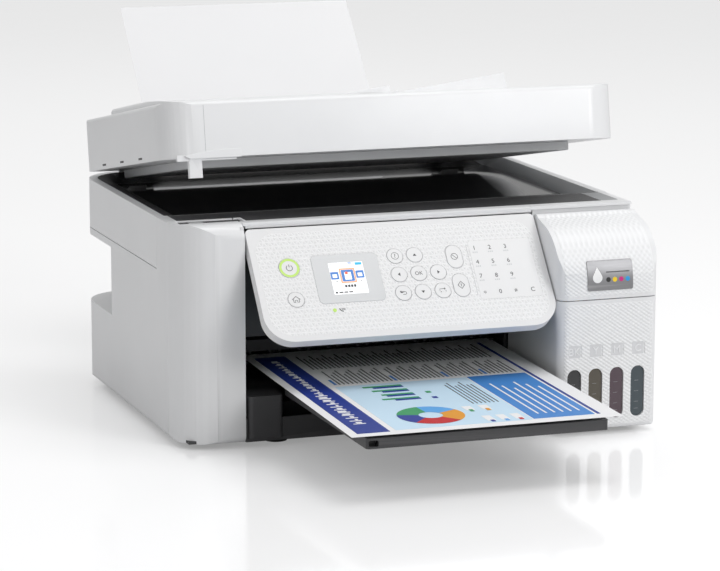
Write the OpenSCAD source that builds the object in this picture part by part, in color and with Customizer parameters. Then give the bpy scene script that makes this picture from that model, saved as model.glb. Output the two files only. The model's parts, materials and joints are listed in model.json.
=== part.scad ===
// Inkjet printer with a scanner, a document feeder and refillable ink tanks.
// +Z is up, +Y points to the back and X runs across. The feet stand at z = 0.
// Sizes below count y from the front face of the left column; at_home() then
// shifts every piece so that the middle of the whole outline lies at y = 0.

/* [Body] */
// Overall width of the casing
body_w = 375; // [350:1:460]
// Depth of the casing from the front column to the back
body_d = 296; // [280:1:360]
// Height of the flat rim on top of the casing
rim_z = 173; // [168:1:210]
// Thickness of the moulded casing walls
wall = 2.5; // [1.5:0.1:3.5]
// Height of the rubber feet
foot_h = 4; // [2:0.5:8]
// Radius of the rubber feet
foot_r = 9; // [5:0.5:14]
// Plan radius of the casing corners
corner_r = 40; // [20:1:60]
// Radius of the lower long edges
lower_r = 7; // [4:0.5:12]
// Radius of the lower back edge
back_r = 28; // [10:1:40]
// Radius of the upper front edge
brow_r = 12; // [6:0.5:16]
// Width of the left front column
column_w = 53.2; // [45:0.1:70]
// Depth of the front deck, from the column face to the scanner
deck_d = 57.4; // [50:0.1:80]
// Depth of the recess at the left back corner
notch_d = 102; // [60:1:130]
// Width of the recess at the left back corner
notch_w = 48; // [30:1:60]
// Height of the recess floor
notch_lo = 71; // [50:1:90]
// Height of the recess ceiling
notch_hi = 127; // [100:1:129]
// Height of the walls that stand up round the base pan
pan_h = 16; // [8:1:16]

/* [Ink tank unit] */
// Width of the ink tank unit
tank_unit_w = 83.6; // [80:0.1:100]
// How far the tank unit stands out in front of the column
tank_out = 47.5; // [40:0.5:70]
// Height of the seam between tank cover and tank lid
tank_seam_z = 106.8; // [104:0.1:110]
// Spacing of the ink windows
window_step = 17.8; // [17:0.1:19]
// Width of an ink window
window_w = 11.6; // [8:0.1:13]
// Lower end of the ink windows
window_lo = 12.6; // [11:0.1:20]
// Upper end of the ink windows
window_hi = 53; // [40:0.1:60]
// Radius of the front brow of the tank lid
tank_brow_r = 45.4; // [35:0.1:50]
// Slope of the tank lid behind its brow, in degrees
tank_slope = 15.3; // [5:0.1:25]
// Width of one ink tank
tank_w = 16; // [12:0.1:16.4]
// Height of one ink tank
tank_h = 78; // [60:1:80]
// Width of the metal badge
badge_w = 38; // [20:1:60]
// Height of the metal badge
badge_h = 23; // [10:1:24]

/* [Control panel] */
// Length of the panel along its slope
panel_l = 97; // [92:1:99]
// Tilt of the panel from upright, in degrees
panel_tilt = 38.3; // [20:0.1:50]
// Depth of the panel's rim
panel_t = 9; // [8:0.5:12]
// Radius of the lower panel corners
panel_r = 22; // [8:1:30]
// Radius of a round key
key_r = 6.4; // [4:0.1:6.6]
// Radius of the power key
power_r = 8.2; // [6:0.1:9]
// Spacing of the round keys
key_step = 16; // [15.6:0.1:17]
// Length of the stop and start keys
pill_l = 20; // [16:0.5:21]
// Travel of a key
key_travel = 0.8; // [0.4:0.1:1.2]
// Width of the display window
lens_w = 53.3; // [40:0.1:60]
// Height of the display window
lens_h = 41.5; // [30:0.1:50]

/* [Scanner] */
// Height of the seam under the scanner unit
scan_seam_z = 132.4; // [129:0.1:136]
// Depth from the rim down to the glass
glass_drop = 7.5; // [5:0.5:12]
// Thickness of the glass
glass_t = 3; // [2:0.5:4]
// Width of the glass
glass_w = 330; // [310:1:336]
// Width of the scan sensor bar
sensor_w = 16; // [12:1:24]

/* [Lid] */
// Height of the lid shell
lid_h = 43; // [34:1:60]
// Distance of the closed lid behind the column face
lid_front = 24; // [16:1:34]
// Plan radius of the front lid corners
lid_r = 28; // [10:1:45]
// How far the lid stands open, in degrees
lid_open = 10.3; // [0:0.1:40]
// Height of the document pad under the lid
pad_h = 7; // [4:0.5:7]
// Height of the hump over the document feeder
hump_h = 8; // [6:0.5:12]
// Slope of the document tray, in degrees
doc_slope = 7.5; // [3:0.5:12]
// Radius of the document feed roller
doc_roller_r = 7; // [5:0.5:9]

/* [Paper path] */
// Paper width that the rear feed takes
paper_w = 210; // [200:1:216]
// Lean of the paper support from upright, in degrees
feed_lean = 41.9; // [30:0.1:50]
// Length of the paper support above the feed slot
support_l = 158; // [100:1:190]
// Width of the paper support
support_w = 150; // [100:1:160]
// Radius of the pick roller
pick_r = 13; // [9:0.5:14]
// Radius of the feed roller
feed_r = 8; // [6:0.5:9]
// Radius of the eject roller
eject_r = 3.5; // [3:0.1:3.6]
// How far the output tray stands out of the casing
tray_out = 187; // [120:1:220]
// Length of the output tray
tray_l = 190; // [150:1:192]
// Width of the output tray
tray_w = 187; // [150:1:190]
// Thickness of the output tray
tray_t = 7.6; // [5:0.1:8]

/* [Print engine] */
// Width of the print carriage
carriage_w = 60; // [40:1:64]
// Depth of the print carriage
carriage_d = 66; // [50:1:70]
// Radius of the belt pulleys
pulley_r = 8; // [6:0.5:9]

/* [Fits] */
// Visible seam between casing pieces
seam = 0.7; // [0.4:0.1:1.5]
// Radial clearance of a shaft in its bearing
run_fit = 0.06; // [0.02:0.01:0.1]
// Clearance between pieces that slide past each other
slide_gap = 0.4; // [0.3:0.1:0.8]

/* [Hidden] */
$fn = 64;
eps = 0.01;
far = 400;

// casing
w2 = body_w / 2;
floor_z = foot_h;
column_x = -w2 + column_w;
tank_x = w2 - tank_unit_w;
front_y = -tank_out;
side_x = w2 - notch_w;                 // where side covers meet the rear cover
notch_y = body_d - notch_d;
pan_edge = lower_r + 2.5;              // inward distance of the base pan from the sides
pan_back = body_d - back_r - 4;
foot_at = [[-w2 + 30, 32], [w2 - 30, 60], [-w2 + 30, pan_back - 18], [w2 - 30, pan_back - 18],
           [w2 - 40, front_y + 26], [column_x + 30, 20], [tank_x - 30, 20]];
inlet_y = [notch_y + 46, notch_y + 74];
inlet_z = [notch_lo + 8, notch_lo + 28];

// tank unit
window_x0 = tank_x + 12.9;
brow_y = front_y + tank_brow_r;
brow_z = 118;
tank_back = 9.4;                       // back edge of the tank lid
tank_hinge = [tank_back - 6, brow_z + 43.6];
tank_lip = 6;                          // radius of its back edge about the hinge
tank_pin = 1.2;
shelf_y = tank_back + seam + 0.4;      // partition behind the tank lid

cap_z = floor_z + 2.5 + tank_h + 6;
cap_hinge = [2, cap_z + 4];
ink_y = [front_y + wall + 0.6, 8];

// control panel, in its own plane: x across, y up the slope, z out of the face
panel_x = [column_x + 1.8, tank_x - 0.9];
panel_top = [7, rim_z - 5];
panel_pin = [-8, -12];
pin_r = 3;
skin_t = 2.5;
keys_x = -2.3;
keys_y = -46.2;
pill_x = keys_x + 2 * key_step - 0.2;
pill_r = 6.5;
stop_y = keys_y + 12.4;
start_y = keys_y - 12.4;
lens_x = -59.4;
lens_y = -46.4;
power_pos = [-104, -35];
home_pos = [-104, -62];
function grid_key(col, row) = [keys_x + col * key_step, keys_y + row * key_step];
round_keys = [home_pos, grid_key(-1, 1), grid_key(0, 1), grid_key(-1, 0), grid_key(0, 0),
              grid_key(1, 0), grid_key(-1, -1), grid_key(0, -1), grid_key(1, -1)];
digit_x = 43;

// scanner
scan_lo = scan_seam_z + seam;
glass_z = rim_z - glass_drop;
glass_x = [-161, glass_w - 161];
glass_y = [deck_d + 4.6, body_d - 22];
scan_hinge = [body_d + 5.2, scan_seam_z - 2.4];

// lid, in its closed place
lid_lo = rim_z + 1.2;
lid_top = lid_lo + lid_h;
lid_back = body_d - 12;
lid_hinge = [body_d - 8, lid_lo + 2];
hinge_x = 140;
hump_x = [-165, 8];
hump_y = [66, lid_back - 14];
crest_y = hump_y[1] - 70;              // highest line of the hump
swell_steps = 12;                      // straight steps in the swell of the hump
doc_x = [12, 105];
scoop_x = [column_x - 46, column_x + 5];
post_x = [-w2 + 18.5, -w2 + 28.5];

// paper path
paper_x = -5;                          // middle of the sheet
feed = [body_d + 3, scan_seam_z + 0.6];   // where the sheet enters
pick_v = -55;
pick_w = pick_r + 0.4;
guide_w = 24;
guide_h = pick_w - 4.8;                // the guides pass below the pick shaft
support_back = 6.6;
chute_back = support_back + 3;
tray_x = [paper_x - 4.4 - tray_w / 2, paper_x - 4.4 + tray_w / 2];
tray_z = 39.4;
tray_top = tray_z + tray_t;
slot_x = [paper_x - paper_w / 2 - 12, paper_x + paper_w / 2 + 9];
eject = [80, tray_top + 0.8 + eject_r];
path_z = eject[1] + eject_r + 0.3;     // underside of a sheet in the engine
feed_axis = [tray_l + 14, path_z - 0.3 - feed_r];
bracket_x = [column_x + 6.3, tank_x - 6.4];
bracket_t = 3.5;

// print engine
head_z = path_z + 3;
carriage_z = head_z + 12;
carriage_y = 100;
belt_y = carriage_y + carriage_d + 14;
belt_z = carriage_z + 12;
home_x = tank_x + 26;
pulley_x = w2 - 19;

// middle of the whole outline
support_rear = feed[0] + support_l * sin(feed_lean) + support_back * cos(feed_lean);
home_y = (support_rear - tray_out) / 2;

module at_home() { translate([0, -home_y, 0]) children(); }

// a block from its lowest to its highest corner
module bar(x, y, z) {
    translate([x[0], y[0], z[0]]) cube([x[1] - x[0], y[1] - y[0], z[1] - z[0]]);
}

// a flat rounded rectangle
module rrect(x, y, r) {
    translate([x[0] + r, y[0]]) square([x[1] - x[0] - 2 * r, y[1] - y[0]]);
    translate([x[0], y[0] + r]) square([x[1] - x[0], y[1] - y[0] - 2 * r]);
    for (cx = [x[0] + r, x[1] - r], cy = [y[0] + r, y[1] - r]) translate([cx, cy]) circle(r);
}

// extrusions of a flat outline along each direction
module along_x(x) { translate([x[0], 0, 0]) rotate([90, 0, 90]) linear_extrude(x[1] - x[0]) children(); }
module along_y(y) { translate([0, y[1], 0]) rotate([90, 0, 0]) linear_extrude(y[1] - y[0]) children(); }
module along_z(z) { translate([0, 0, z[0]]) linear_extrude(z[1] - z[0]) children(); }

// a round bar along X through the point yz
module rod(x, yz, r) { translate([x[0], yz[0], yz[1]]) rotate([0, 90, 0]) cylinder(h = x[1] - x[0], r = r); }

module on_panel() {
    translate([0, panel_top[0], panel_top[1]]) rotate([90 - panel_tilt, 0, 0]) children();
}

module on_feed() {
    translate([0, feed[0], feed[1]]) rotate([90 - feed_lean, 0, 0]) children();
}

module on_lid() {
    translate([0, lid_hinge[0], lid_hinge[1]]) rotate([-lid_open, 0, 0])
        translate([0, -lid_hinge[0], -lid_hinge[1]]) children();
}

// outer form of the casing, set in by i
module casing(i) {
    intersection() {
        along_z([floor_z + i, rim_z - i]) rrect([-w2 + i, w2 - i], [i, body_d - i], corner_r - i);
        along_x([-w2, w2]) {
            rrect([i, body_d - i], [floor_z + i, rim_z + far], back_r - i);
            rrect([i, body_d / 2], [floor_z + i, rim_z + far], 6 - i);
        }
        along_x([-w2, w2]) {
            rrect([i, body_d + far], [-far, rim_z - i], brow_r - i);
        }
        along_y([0, body_d]) rrect([-w2 + i, w2 - i], [floor_z + i, rim_z + far], lower_r - i);
    }
}

module casing_skin() {
    difference() {
        casing(0);
        casing(wall);
    }
}

// outer form of the tank unit up to its seam, set in by i
module tank_box(i, top) {
    intersection() {
        along_z([floor_z + i, top]) rrect([tank_x + i, w2 - i], [front_y + i, deck_d + far], 9 - i);
        along_x([tank_x, w2]) rrect([front_y + i, deck_d + far], [floor_z + i, far], 5 - i);
        along_y([front_y, deck_d]) rrect([tank_x + i, w2 - i], [floor_z + i, far], lower_r - i);
    }
}

// side view of the tank lid, set in by i
module tank_brow(i, back) {
    r = tank_brow_r - i;
    a = tank_slope;
    top = [brow_y - r * sin(a), brow_z + r * cos(a)];
    run = (back - top[0]) / cos(a);
    intersection() {
        translate([brow_y, brow_z]) circle(r);
        polygon([[brow_y, brow_z], [brow_y - far, brow_z], [brow_y - far, brow_z + far],
                 [brow_y - far * tan(a), brow_z + far]]);
    }
    polygon([[brow_y, brow_z], top, [back, top[1] + run * sin(a)], [back, tank_seam_z - 1],
             [brow_y - r, tank_seam_z - 1], [brow_y - r, brow_z]]);
}

// side view of the tank lid with its round back edge
module tank_lid_side() {
    tank_brow(0, tank_hinge[0] + tank_lip * sin(tank_slope));
    translate(tank_hinge) circle(tank_lip);
    translate([brow_y, tank_seam_z - 1])
        square([tank_back - brow_y, tank_hinge[1] - tank_seam_z + 1]);
}

// plan of the opening that the base pan fills, set in by i
module pan_plan(i) {
    translate([-w2 + pan_edge + i, 8 + i]) square([body_w - 2 * (pan_edge + i), pan_back - 8 - 2 * i]);
    translate([column_x + i, 2]) square([tank_x - column_x - 2 * i, 12]);
    translate([tank_x + pan_edge + i, front_y + pan_edge + i])
        square([tank_unit_w - 2 * (pan_edge + i), tank_out]);
}

module base_pan() {
    color("dimgray") at_home() {
        along_z([floor_z, floor_z + wall]) pan_plan(seam);
        along_z([floor_z, floor_z + pan_h]) difference() {
            ring = -w2 + pan_edge + seam;
            translate([ring, deck_d + 2]) square([-2 * ring, pan_back - deck_d - 2 - seam]);
            translate([ring + wall, deck_d + 2 + wall])
                square([-2 * (ring + wall), pan_back - deck_d - 2 - seam - 2 * wall]);
        }
        // lower front sill and the rounded stop block beside the tray
        bar([column_x + seam, tank_x - seam], [2, 2 + wall], [floor_z, floor_z + 18]);
        along_z([floor_z + wall, floor_z + 36])
            rrect([column_x + 2, tray_x[0] - 1.6], [-1.5, 27], 4);
    }
}

module rubber_feet() {
    color("black") at_home() for (p = foot_at) translate([p[0], p[1], 0]) {
        cylinder(h = foot_h, r = foot_r);
    }
}

// the recess at the back left corner, where the mains lead plugs in
module notch_space(i) {
    bar([-w2 - 1, -side_x - i], [notch_y + i, body_d + 1], [notch_lo + i, notch_hi - i]);
}

// shallow finger room under the front left corner of the lid
module finger_scoop() {
    bar(scoop_x, [lid_front - 6, lid_front + 9], [rim_z - 1.2, rim_z + 1]);
}

module left_side_cover() {
    color("whitesmoke") at_home() difference() {
        union() {
            intersection() {
                casing_skin();
                union() {
                    bar([-w2 - 1, column_x], [-1, deck_d], [0, rim_z + 1]);
                    bar([-w2 - 1, -side_x], [deck_d - 1, body_d + 1], [0, scan_seam_z]);
                }
            }
            bar([column_x - wall, column_x], [wall - eps, deck_d], [floor_z + 6, rim_z - wall + eps]);
            // walls of the recess
            intersection() {
                casing(wall - eps);
                difference() {
                    bar([-w2, -side_x], [notch_y - wall, body_d],
                        [notch_lo - wall, notch_hi + wall]);
                    notch_space(0);
                    bar([-w2, -side_x - wall], [notch_y, body_d + 1], [notch_lo, notch_hi]);
                }
            }
        }
        bar([-w2 - 1, -side_x - wall], [notch_y, body_d + 1], [notch_lo, notch_hi]);
        along_z([0, floor_z + wall + eps]) pan_plan(0);
        // cooling slots and the mains socket opening
        for (i = [0:7]) bar([-side_x - wall - 1, -side_x + 1],
                            [notch_y + 8 + 4.4 * i, notch_y + 10.2 + 4.4 * i],
                            [notch_lo + 12, notch_hi - 12]);
        bar([-side_x - wall - 1, -side_x + 1], inlet_y, inlet_z);
        // finger scoop and flag slot for the lid
        finger_scoop();
        bar([post_x[0] - 2, post_x[1] + 2], [lid_front - 1, lid_front + 8], [rim_z - 20, rim_z + 1]);
    }
}

module right_side_cover() {
    ear_r = 2.2;
    color("whitesmoke") at_home() difference() {
        union() {
            intersection() {
                casing_skin();
                bar([side_x, w2 + 1], [deck_d + 3, body_d + 1], [0, scan_seam_z]);
            }
            difference() {
                tank_box(0, tank_seam_z);
                tank_box(wall, tank_seam_z + 1);
                bar([tank_x - 1, w2 + 1], [deck_d + 2, far], [0, far]);
            }
            // walls behind the tank lid
            for (x = [tank_x, w2 - wall])
                bar([x, x + wall], [tank_back + seam, deck_d], [floor_z + 20, rim_z - wall]);
            bar([w2 - wall, w2], [deck_d - 1, deck_d + 4], [floor_z + 20, scan_seam_z]);
            bar([tank_x, w2], [shelf_y, shelf_y + wall], [cap_z + 2, rim_z - wall]);
            // bearing ears of the tank lid
            for (x = [tank_x + 5, w2 - 8]) {
                rod([x, x + 3], tank_hinge, ear_r);
                bar([x, x + 3], [tank_hinge[0] - ear_r, tank_hinge[0] + ear_r],
                    [tank_hinge[1] - 12, tank_hinge[1]]);
                bar([x, x + 3], [tank_hinge[0], shelf_y + eps],
                    [tank_hinge[1] - 12, tank_hinge[1] - 7]);
            }
        }
        along_z([0, floor_z + wall + eps]) pan_plan(0);
        for (x = [tank_x + 5, w2 - 8]) rod([x - 1, x + 4], tank_hinge, tank_pin + run_fit);
        for (i = [0:3]) {
            x = window_x0 + i * window_step;
            r = window_w / 2;
            along_y([front_y - 1, front_y + wall + 1])
                rrect([x - r, x + r], [window_lo, window_hi], r - eps);
            along_y([front_y - 1, front_y + 0.5])
                rrect([x - r, x + r], [window_hi + 9, window_hi + 19], 1);
        }
    }
}

module rear_cover() {
    color("whitesmoke") at_home() difference() {
        union() {
            difference() {
                intersection() {
                    casing_skin();
                    bar([-side_x + seam, side_x - seam], [pan_back - 20, body_d + 1],
                        [0, scan_seam_z - 1]);
                }
                bar([slot_x[0], slot_x[1]], [body_d - 10, body_d + 1], [feed[1] - 24, rim_z]);
            }
            // inclined chute behind the sheet and its two cheeks
            on_feed() bar([slot_x[0], slot_x[1]], [-88, -6], [-chute_back - 2.5, -chute_back + 2.6]);
            for (x = [slot_x[0] - wall, slot_x[1]])
                bar([x, x + wall], [feed[0] - 76, body_d - 1], [floor_z + 34, scan_seam_z - 3]);
            for (s = [-1, 1]) for (x = [side_x - 16, side_x - 5])
                hinge_ear(s > 0 ? x : -x - 3.2);
        }
        along_z([0, floor_z + wall + eps]) pan_plan(0);
        on_feed() rod([slot_x[0] - 9, slot_x[1] + 9], [pick_v, pick_w], 3 + run_fit);
        on_feed() bar([paper_x - support_w / 2 - 1, paper_x + support_w / 2 + 1], [-90, 0],
                      [-chute_back - 0.1, -chute_back + 3]);
        on_feed() bar([slot_x[0] + eps, slot_x[1] - eps], [-90, 0], [-support_back + 2.6, 20]);
        for (x = [-side_x, side_x - 17]) rod([x, x + 17], scan_hinge, 2.5 + run_fit);
    }
}

module hinge_ear(x) {
    rod([x, x + 3.2], scan_hinge, 4.6);
    bar([x, x + 3.2], [body_d - wall, scan_hinge[0]], [scan_hinge[1] - 14, scan_hinge[1]]);
}

module front_deck() {
    color("white") at_home() difference() {
        intersection() {
            union() {
                casing_skin();
                bar([tank_x - 2, w2], [8, deck_d], [rim_z - wall, rim_z]);
            }
            along_y([8, deck_d]) rrect([column_x + seam, w2], [rim_z - 30, rim_z], 1.5);
            bar([column_x + seam, w2 + 1], [8, deck_d - 0.2], [rim_z - wall + eps, rim_z + 1]);
        }
        finger_scoop();
    }
}

module front_liner() {
    back_y = carriage_y - 7;
    top_z = panel_top[1] - 8;
    pin = panel_pin_yz();
    low_top = scan_seam_z - 2.4;
    x = [column_x + 0.3, tank_x - 0.3];
    color([0.08, 0.08, 0.09]) at_home() difference() {
        union() {
            bar([x[0], x[0] + wall], [30, back_y], [floor_z + 18, low_top]);
            bar([x[1] - wall, x[1]], [deck_d + 2, back_y], [floor_z + 18, low_top]);
            bar([x[0], x[0] + wall], [22, deck_d - 2], [82, top_z]);
            bar(x, [22, 24.5], [82, top_z]);
            bar(x, [22, deck_d - 2], [top_z - wall, top_z]);
            bar(x, [deck_d - 2 - wall, deck_d - 2], [low_top - wall, top_z]);
            bar(x, [deck_d - 2 - wall, back_y], [low_top - wall, low_top]);
            bar(x, [back_y - wall, back_y], [carriage_z, low_top]);
            // ribs that show beside the panel
            for (i = [0:3]) bar([column_x + 2.7, column_x + 4.6], [34 + 13 * i, 38 + 13 * i],
                                [floor_z + 30, 82]);
            for (x = [column_x + 10, tank_x - 13]) {
                bar([x, x + 4], [pin[0], 23], [pin[1] - 4.8, pin[1] + 4.8]);
                rod([x, x + 4], pin, 4.8);
            }
        }
        for (x = [column_x + 10, tank_x - 13]) rod([x - 1, x + 5], pin, pin_r + run_fit);
    }
}

// the panel's hinge line as y and z
function panel_pin_yz() = [
    panel_top[0] + panel_pin[0] * sin(panel_tilt) - panel_pin[1] * cos(panel_tilt),
    panel_top[1] + panel_pin[0] * cos(panel_tilt) + panel_pin[1] * sin(panel_tilt)];

module main_rail() {
    y = carriage_y + carriage_d + 4;
    color("silver") at_home() {
        end = w2 - wall - 2;
        bar([-end, end], [y, y + 1.6], [carriage_z + 24, carriage_z + 46]);
        bar([-end, end], [y, y + 20], [carriage_z + 44.4, carriage_z + 46]);
        for (x = [-end, end - 1.6])
            bar([x, x + 1.6], [y, y + 20], [floor_z + pan_h + 4, carriage_z + 46]);
    }
}

module platen() {
    inner = [bracket_x[0] + bracket_t, bracket_x[1] - bracket_t];
    color([0.1, 0.1, 0.11]) at_home() difference() {
        union() {
            bar([inner[0] - 1, inner[1] + 1], [94, feed_axis[0] - feed_r - 3],
                [tray_top + 0.6, path_z - 3]);
            for (x = [inner[0] + 8:12:inner[1] - 6])
                bar([x, x + 1.5], [96, feed_axis[0] - feed_r - 5], [path_z - 3.1, path_z - 0.2]);
            for (x = [bracket_x[0], inner[1]])
                bar([x, x + bracket_t], [eject[0] - 8, feed_axis[0] + 8],
                    [feed_axis[1] - 9, path_z + 1]);
            // legs down to the base pan
            for (x = [bracket_x[0], inner[1]], y = [eject[0] - 8, feed_axis[0] - 8])
                bar([x, x + bracket_t], [y, y + 16], [floor_z + wall, feed_axis[1]]);
        }
        rod([-w2, w2], feed_axis, 4 + run_fit);
        rod([-w2, w2], eject, 2 + run_fit);
    }
}

module star_wheel_bar() {
    wheel_r = 5;
    x = [bracket_x[0] + bracket_t + 2, bracket_x[1] - bracket_t - 2];
    axle = [eject[0], path_z + 0.5 + wheel_r];
    color([0.07, 0.07, 0.08]) at_home() {
        bar(x, [axle[0] - 9, axle[0] + 8], [axle[1] + 2.6, axle[1] + 8]);
        bar(x, [axle[0] - 9, axle[0] - 6], [axle[1] - 1, axle[1] + 3]);
        rod(x, axle, 1.2);
        for (i = [0:8]) {
            cx = x[0] + 10 + i * (x[1] - x[0] - 20) / 8;
            rod([cx - 0.6, cx + 0.6], axle, wheel_r);
            for (s = [-5, 3]) bar([cx + s, cx + s + 2], [axle[0] - 9, axle[0] + 6],
                                  [axle[1] - 2.6, axle[1] + 3]);
        }
    }
}

module ink_tanks() {
    lo = floor_z + wall + 1.2;
    color([0.8, 0.8, 0.82, 0.6]) at_home() for (i = [0:3]) {
        x = window_x0 + i * window_step;
        along_z([lo, lo + tank_h]) rrect([x - tank_w / 2, x + tank_w / 2], ink_y, 2);
        translate([x, front_y + 24, lo + tank_h]) cylinder(h = cap_z - lo - tank_h - 0.3, r = 4.5);
        bar([x - 2.5, x + 2.5], [cap_hinge[0] - 3.4, ink_y[1]], [lo + tank_h, cap_hinge[1] - 2.6]);
        rod([x - 2.5, x + 2.5], cap_hinge, 3);
    }
}

// a hinged cap over one filling neck
module tank_cap(i) {
    x = window_x0 + i * window_step;
    at_home() {
        difference() {
            union() {
                along_z([cap_z, cap_z + 4])
                    rrect([x - 6.8, x + 6.8], [front_y + 12, cap_hinge[0] - 4.4], 4);
                for (s = [-6.8, 3.8])
                    bar([x + s, x + s + 3], [cap_hinge[0] - 8, cap_hinge[0]], [cap_z, cap_z + 4]);
                for (s = [-6.8, 3.8]) rod([x + s, x + s + 3], cap_hinge, 3);
                translate([x, front_y + 24, cap_z + 3.9]) cylinder(h = 3, r = 4.8);
            }
        }
        for (s = [-3.9, 2.8]) rod([x + s, x + s + 1.1], cap_hinge, 1.4);
    }
}

module tank_cap_black() { color([0.1, 0.1, 0.1]) tank_cap(0); }
module tank_cap_yellow() { color("gold") tank_cap(1); }
module tank_cap_magenta() { color("mediumvioletred") tank_cap(2); }
module tank_cap_cyan() { color("deepskyblue") tank_cap(3); }

module tank_lid() {
    lo = tank_seam_z + seam;
    color("white") at_home() {
        difference() {
            intersection() {
                along_x([tank_x, w2]) tank_lid_side();
                along_z([lo, rim_z]) rrect([tank_x + 0.2, w2], [front_y, far], 9);
            }
            intersection() {
                along_x([tank_x, w2]) tank_brow(wall, tank_back + 20);
                along_z([lo - 5, rim_z]) rrect([tank_x + 0.2 + wall, w2 - wall], [front_y + wall, far],
                                               9 - wall);
            }
        }
        rod([tank_x + wall, tank_x + 8.3], tank_hinge, tank_pin);
        rod([w2 - 8.3, w2 - wall], tank_hinge, tank_pin);
    }
}

module tank_badge() {
    x = (tank_x + w2) / 2;
    color("silver") at_home() intersection() {
        along_x([x - badge_w / 2, x + badge_w / 2]) difference() {
            tank_brow(-0.7, 0);
            tank_brow(0, 10);
        }
        along_y([front_y - 5, front_y + 15])
            rrect([x - badge_w / 2, x + badge_w / 2],
                  [tank_seam_z + 7.4, tank_seam_z + 7.4 + badge_h], 1.5);
    }
}

module main_board() {
    x = w2 - 16;
    color("darkgreen") at_home() {
        bar([x, x + 1.6], [belt_y + 22, body_d - 14], [floor_z + pan_h + 20, carriage_z + 30]);
        for (i = [0:3]) bar([x - 6, x + eps], [belt_y + 28 + 17 * i, belt_y + 39 + 17 * i],
                            [floor_z + pan_h + 30, floor_z + pan_h + 42]);
        bar([x - 14, x + eps], [belt_y + 30, belt_y + 78], [carriage_z + 4, carriage_z + 12]);
    }
}

module power_supply() {
    x = [-side_x + 0.4, slot_x[0] - wall - 2.6];
    color([0.2, 0.2, 0.22]) at_home() difference() {
        union() {
            bar(x, [notch_y + 4, body_d - 16], [notch_lo - 2, notch_hi - 6]);
            bar([-side_x - wall + 0.4, x[0] + eps], [inlet_y[0] + 0.5, inlet_y[1] - 0.5],
                [inlet_z[0] + 0.5, inlet_z[1] - 0.5]);
        }
        // the two-pin mains socket
        along_x([-side_x - wall, x[1] - 3])
            rrect([inlet_y[0] + 4, inlet_y[1] - 4], [inlet_z[0] + 4, inlet_z[1] - 4], 5.5);
    }
}

module capping_station() {
    c = [home_x, carriage_y + 30];
    color([0.16, 0.16, 0.17]) at_home() {
        along_z([floor_z + wall + 0.2, head_z - 7]) rrect([c[0] - 22, c[0] + 22], [c[1] - 22, c[1] + 22], 3);
        along_z([head_z - 7.1, head_z - 0.6]) difference() {
            rrect([c[0] - 14, c[0] + 14], [c[1] - 17, c[1] + 17], 4);
            rrect([c[0] - 11.5, c[0] + 11.5], [c[1] - 14.5, c[1] + 14.5], 2);
        }
    }
}

module drive_motors() {
    color([0.45, 0.45, 0.48]) at_home() {
        // carriage motor with its pulley
        translate([-pulley_x, belt_y, belt_z - 40]) cylinder(h = 34, r = pulley_r + 2);
        translate([-pulley_x, belt_y, belt_z - 8]) cylinder(h = 22, r = 2.5);
        translate([-pulley_x, belt_y, belt_z - 1.5]) cylinder(h = 9, r = pulley_r);
        // paper feed motor
        rod([-w2 + 14, -w2 + 40], [feed_axis[0] - 46, floor_z + 26], 15);
        rod([-w2 + 39, -w2 + 46], [feed_axis[0] - 46, floor_z + 26], 4);
    }
}

module drive_belt() {
    color([0.12, 0.12, 0.12]) at_home() along_z([belt_z, belt_z + 6]) difference() {
        rrect([-pulley_x - pulley_r - 1.8, pulley_x + pulley_r + 1.8],
              [belt_y - pulley_r - 1.8, belt_y + pulley_r + 1.8], pulley_r + 1.8 - eps);
        rrect([-pulley_x - pulley_r - 0.3, pulley_x + pulley_r + 0.3],
              [belt_y - pulley_r - 0.3, belt_y + pulley_r + 0.3], pulley_r + 0.3 - eps);
    }
}

module case_screws() {
    color("silver") at_home() for (x = [-110, 110], z = [24, 74]) {
        translate([x + paper_x, body_d + 1.6, z + 8]) rotate([90, 0, 0]) difference() {
            cylinder(h = 1.6, r = 3.4);
            translate([-0.5, -2.4, -0.1]) cube([1, 4.8, 0.9]);
            translate([-2.4, -0.5, -0.1]) cube([4.8, 1, 0.9]);
        }
    }
}

module feed_roller() {
    color([0.25, 0.25, 0.27]) at_home() {
        rod([bracket_x[0] - 6, bracket_x[1] + 4], feed_axis, 4);
        rod([bracket_x[0] + bracket_t + 6, bracket_x[1] - bracket_t - 6], feed_axis, feed_r);
        rod([bracket_x[0] - 9, bracket_x[0] - 1], feed_axis, 7.4);
    }
}

module eject_roller() {
    x = [bracket_x[0] + bracket_t + 4, bracket_x[1] - bracket_t - 4];
    color([0.2, 0.2, 0.22]) at_home() {
        rod([bracket_x[0] - 2, bracket_x[1] + 2], eject, 2);
        for (i = [0:8]) {
            cx = x[0] + 8 + i * (x[1] - x[0] - 16) / 8;
            rod([cx - 4, cx + 4], eject, eject_r);
        }
    }
}

module pick_roller() {
    color([0.18, 0.18, 0.2]) at_home() on_feed() {
        rod([slot_x[0] - wall - 2, slot_x[1] + wall + 2], [pick_v, pick_w], 3);
        rod([paper_x - 12, paper_x + 12], [pick_v, pick_w], pick_r);
    }
}

module carriage() {
    x = [home_x - carriage_w / 2, home_x + carriage_w / 2];
    y = [carriage_y, carriage_y + carriage_d];
    color([0.14, 0.14, 0.15]) at_home() {
        difference() {
            along_z([carriage_z, carriage_z + 40]) rrect(x, y, 4);
            along_z([carriage_z + 3, carriage_z + 41])
                rrect([x[0] + 3, x[1] - 3], [y[0] + 3, y[1] - 3], 2);
        }
        // guide shoe over the rail and grip on the belt
        bar([x[0] + 4, x[1] - 4], [y[1] - eps, y[1] + 3.4], [carriage_z + 26, carriage_z + 38]);
        bar([home_x - 8, home_x + 8], [y[1] - eps, belt_y - pulley_r - 2.2],
            [belt_z - 2, belt_z + 8]);
    }
}

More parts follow.
